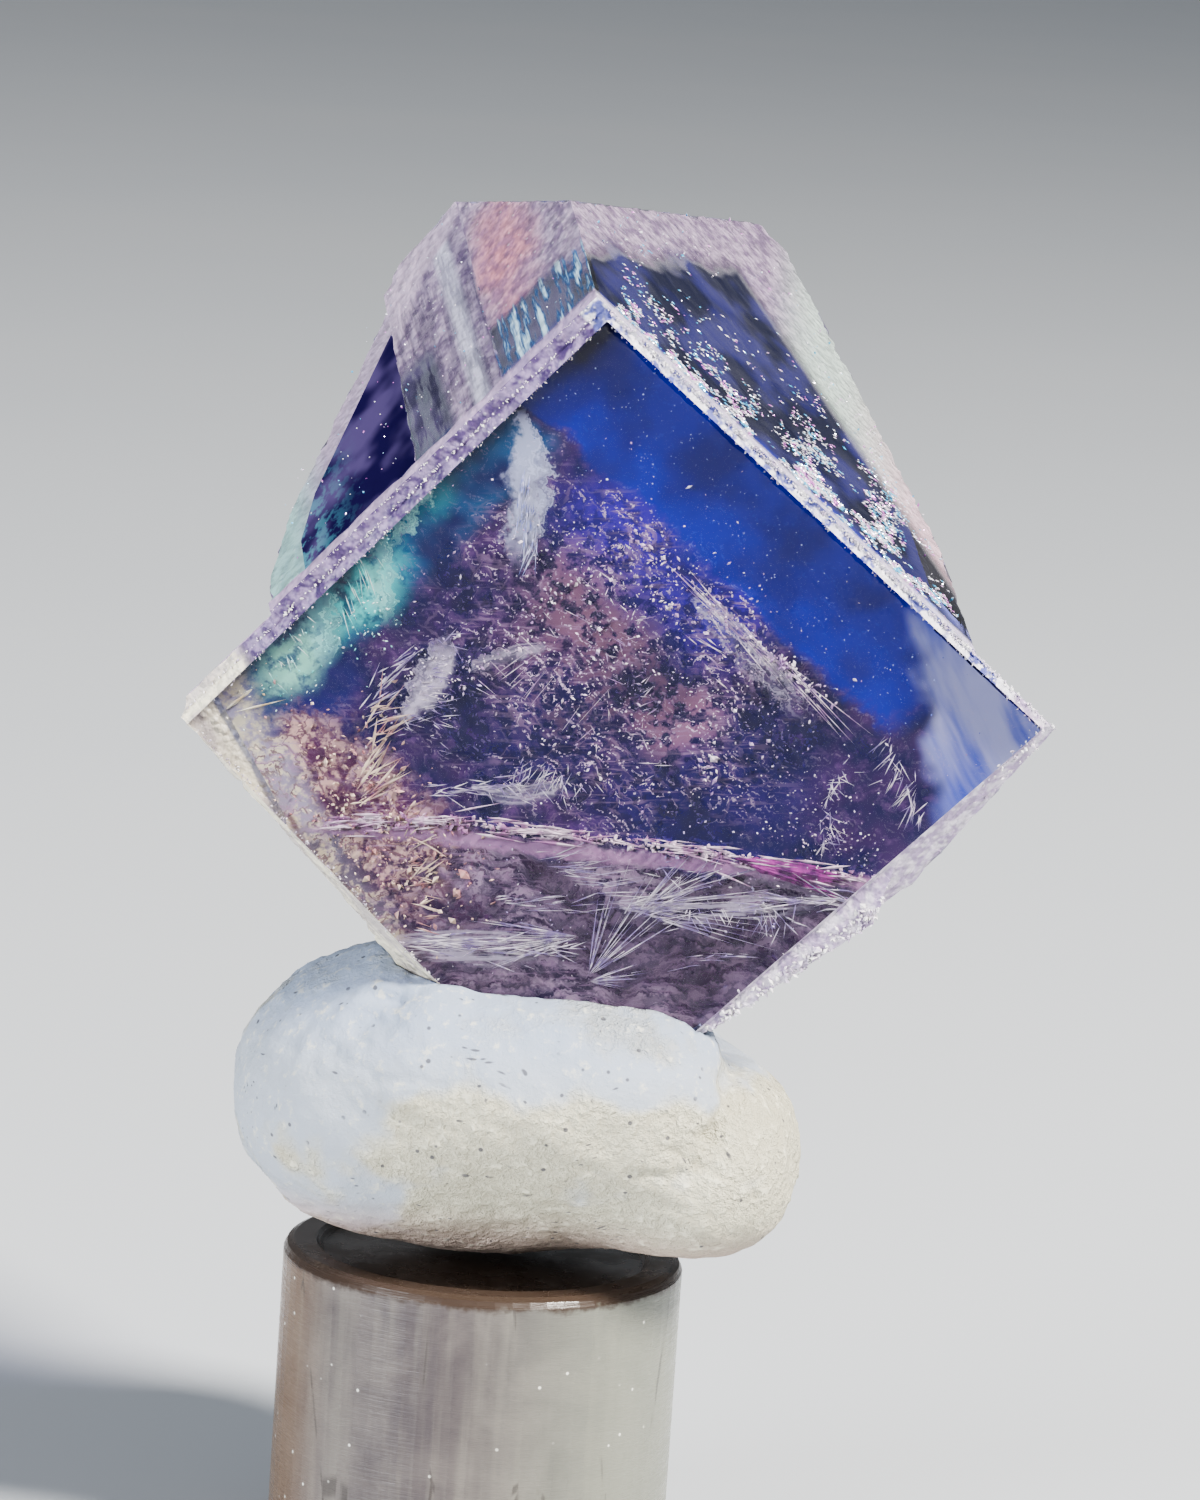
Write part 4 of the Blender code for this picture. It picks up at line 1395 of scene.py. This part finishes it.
def build_putty():
    """The putty: one lumpy skin with folds and dents, pressed in by the crystal's foot."""
    skin = bmesh.new()
    bmesh.ops.create_uvsphere(skin, u_segments=PUTTY_SEGMENTS, v_segments=PUTTY_RINGS, radius=1.0)
    for vertex in skin.verts:
        direction = vertex.co.normalized()
        reach = putty_reach(direction)
        point = PUTTY_CENTRE + direction * reach
        dents = 0.12 * noise.noise(point * 0.7) + 0.04 * noise.noise(point * 2.2)
        crumbly = max(0.0, min(1.0, 0.6 + 2.2 * noise.noise(point * 0.33 + Vector((4.0, 0.0, 1.0)))))
        dents += crumbly * (0.05 * noise.noise(point * 3.1) + 0.03 * noise.noise(point * 5.6))
        point = PUTTY_CENTRE + direction * (reach + dents - 0.10 - crease_depth(point))
        point.z = max(point.z, POST_TOP + 0.01)
        vertex.co = point * MM
    bmesh.ops.remove_doubles(skin, verts=skin.verts[:], dist=0.000002)
    putty = object_from_bmesh("putty_blob", skin, None, [putty_material()])
    for faces in (BODY_FACES, PLATE_FACES):
        seat = object_from_bmesh("seat", convex_from_faces(faces.values(), grow=0.02), CRYSTAL_PLACE)
        apply_boolean(putty, seat, "DIFFERENCE")
    putty.data.shade_smooth()
    part_piece(putty, "putty", "mineral_putty")


def post_material():
    """Cloudy translucent resin with streaks, fine scratches, painted glints and a brown stained top, and
    painted light that makes it paler towards the right and warm tan along the left edge.
    """
    shader = Shader("post_cloudy_resin")
    mix, ramp, times, noise = shader.mix, shader.ramp, shader.times, shader.noise
    place = shader.place()
    height = shader.along(place, (0.0, 0.0, 1.0))
    sideways = shader.along(place, (1.0, 0.0, 0.0))
    cloud = noise(place, 0.45, 4.0, 0.6, 0.6)
    streaks = noise(stretched(shader, place, (2.2, 2.2, 0.12)), 1.0, 4.0, 0.6)
    scratches = noise(stretched(shader, place, (0.5, 0.5, 14.0)), 1.0, 4.0, 0.7)
    # Painted glints: small bright specks standing in for highlights on the resin
    painted_glints = times(ramp(shader.cells(place, 1.9), 0.10, 0.05), ramp(cloud, 0.46, 0.56))
    cracks = shader.cells(stretched(shader, place, (1.0, 1.0, 0.3)), 0.5, "DISTANCE_TO_EDGE")
    cracks = times(ramp(cracks, 0.02, 0.006), ramp(streaks, 0.52, 0.60))
    jagged = shader.fused(noise(place, 2.4, 3.0, 0.7), 0.5, height)
    top = ramp(jagged, POST_TOP - 0.16, POST_TOP + 0.04)
    colour = shader.layered(
        mix(ramp(cloud, 0.3, 0.7), srgb(78, 70, 72), srgb(112, 104, 100)),
        (ramp(streaks, 0.4, 0.75, 0.0, 0.35), srgb(150, 144, 132)),
        # painted light: paler towards the right
        (ramp(sideways, -1.0, 4.6, 0.0, 0.7), srgb(146, 150, 136)),
        # painted light: warm tan along the left edge, from light passing through the rod
        (ramp(sideways, -3.4, -4.8, 0.0, 0.6), srgb(128, 102, 76)),
        # painted glints
        (painted_glints, srgb(238, 236, 226)),
        (times(cracks, 0.6), srgb(52, 46, 44)),
        (top, (0.055, 0.036, 0.026)),
    )
    surface = shader.principled(
        Base_Color=colour,
        Roughness=ramp(scratches, 0.3, 0.7, 0.18, 0.38),
        IOR=1.5,
        Normal=shader.bump(scratches, 0.02, 0.5),
    )
    return shader.finish(surface)


def dress_post():
    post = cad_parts["display_post"]
    material = post_material()
    for slot in post.material_slots:
        slot.material = material


def stage_material():
    shader = Shader("pale_floor")
    place = shader.place()
    tone = shader.noise(place, 0.02, 2.0)
    colour = shader.mix(tone, (0.56, 0.59, 0.63), (0.60, 0.62, 0.65))
    return shader.finish(shader.principled(Base_Color=colour, Roughness=0.9))


def build_stage():
    """A plain pale floor that reaches past the view."""
    sheet = bmesh.new()
    bmesh.ops.create_grid(sheet, x_segments=1, y_segments=1, size=3.0)
    floor = object_from_bmesh("floor", sheet, None, [stage_material()])


def add_light(name, place, size, power, colour=(1.0, 1.0, 1.0)):
    data = bpy.data.lights.new(name, "AREA")
    data.shape = "DISK"
    data.size = size
    data.energy = power
    data.color = colour
    light = bpy.data.objects.new(name, data)
    light.location = place
    aim = CAMERA_TARGET * MM - Vector(place)
    light.rotation_euler = aim.to_track_quat("-Z", "Y").to_euler()
    bpy.context.scene.collection.objects.link(light)


def build_lights():
    """A soft key from the upper right, a weak fill from the left and an even pale sky."""
    add_light("key", (0.24, -0.16, 0.32), 0.10, 4.6, (1.0, 0.96, 0.90))
    add_light("fill", (-0.30, -0.24, 0.06), 0.25, 2.1, (0.90, 0.94, 1.0))
    world = bpy.data.worlds.new("sky")
    world.use_nodes = True
    background = world.node_tree.nodes["Background"]
    background.inputs["Color"].default_value = (0.86, 0.90, 0.95, 1.0)
    background.inputs["Strength"].default_value = 0.30
    bpy.context.scene.world = world


def build_camera():
    """The photograph's view."""
    data = bpy.data.cameras.new("camera")
    data.lens = CAMERA_LENS
    data.sensor_width = SENSOR_LONG_SIDE
    data.clip_start = 0.01
    data.clip_end = 20.0
    camera = bpy.data.objects.new("camera", data)
    back = Vector((0.0, -math.cos(CAMERA_ELEVATION), math.sin(CAMERA_ELEVATION)))
    camera.location = (CAMERA_TARGET + back * CAMERA_DISTANCE) * MM
    upright = back.to_track_quat("Z", "Y").to_matrix().to_4x4()
    camera.matrix_world = Matrix.Translation(camera.location) @ upright @ Matrix.Rotation(CAMERA_ROLL, 4, "Z")
    bpy.context.scene.collection.objects.link(camera)
    bpy.context.scene.camera = camera


def set_contrast():
    """A slightly stronger contrast than the plain view, as sunlight gives."""
    bpy.context.scene.view_settings.look = "AgX - Medium High Contrast"


def set_light_paths():
    """Enough bounces for light to cross the nested colour zones."""
    cycles = bpy.context.scene.cycles
    cycles.use_light_tree = False
    cycles.max_bounces = 8
    cycles.diffuse_bounces = 1
    cycles.glossy_bounces = 2
    cycles.transmission_bounces = 8
    cycles.transparent_max_bounces = 12
    cycles.caustics_reflective = False
    cycles.caustics_refractive = False
    cycles.sample_clamp_indirect = 6.0
    cycles.use_denoising = True
    cycles.sampling_pattern = "TABULATED_SOBOL"


def main():
    build_camera()
    build_lights()
    build_stage()
    set_contrast()
    set_light_paths()
    build_crystal_skin()
    build_zones()
    build_inclusions()
    build_glitter()
    build_edge_beads()
    build_putty()
    dress_post()


main()
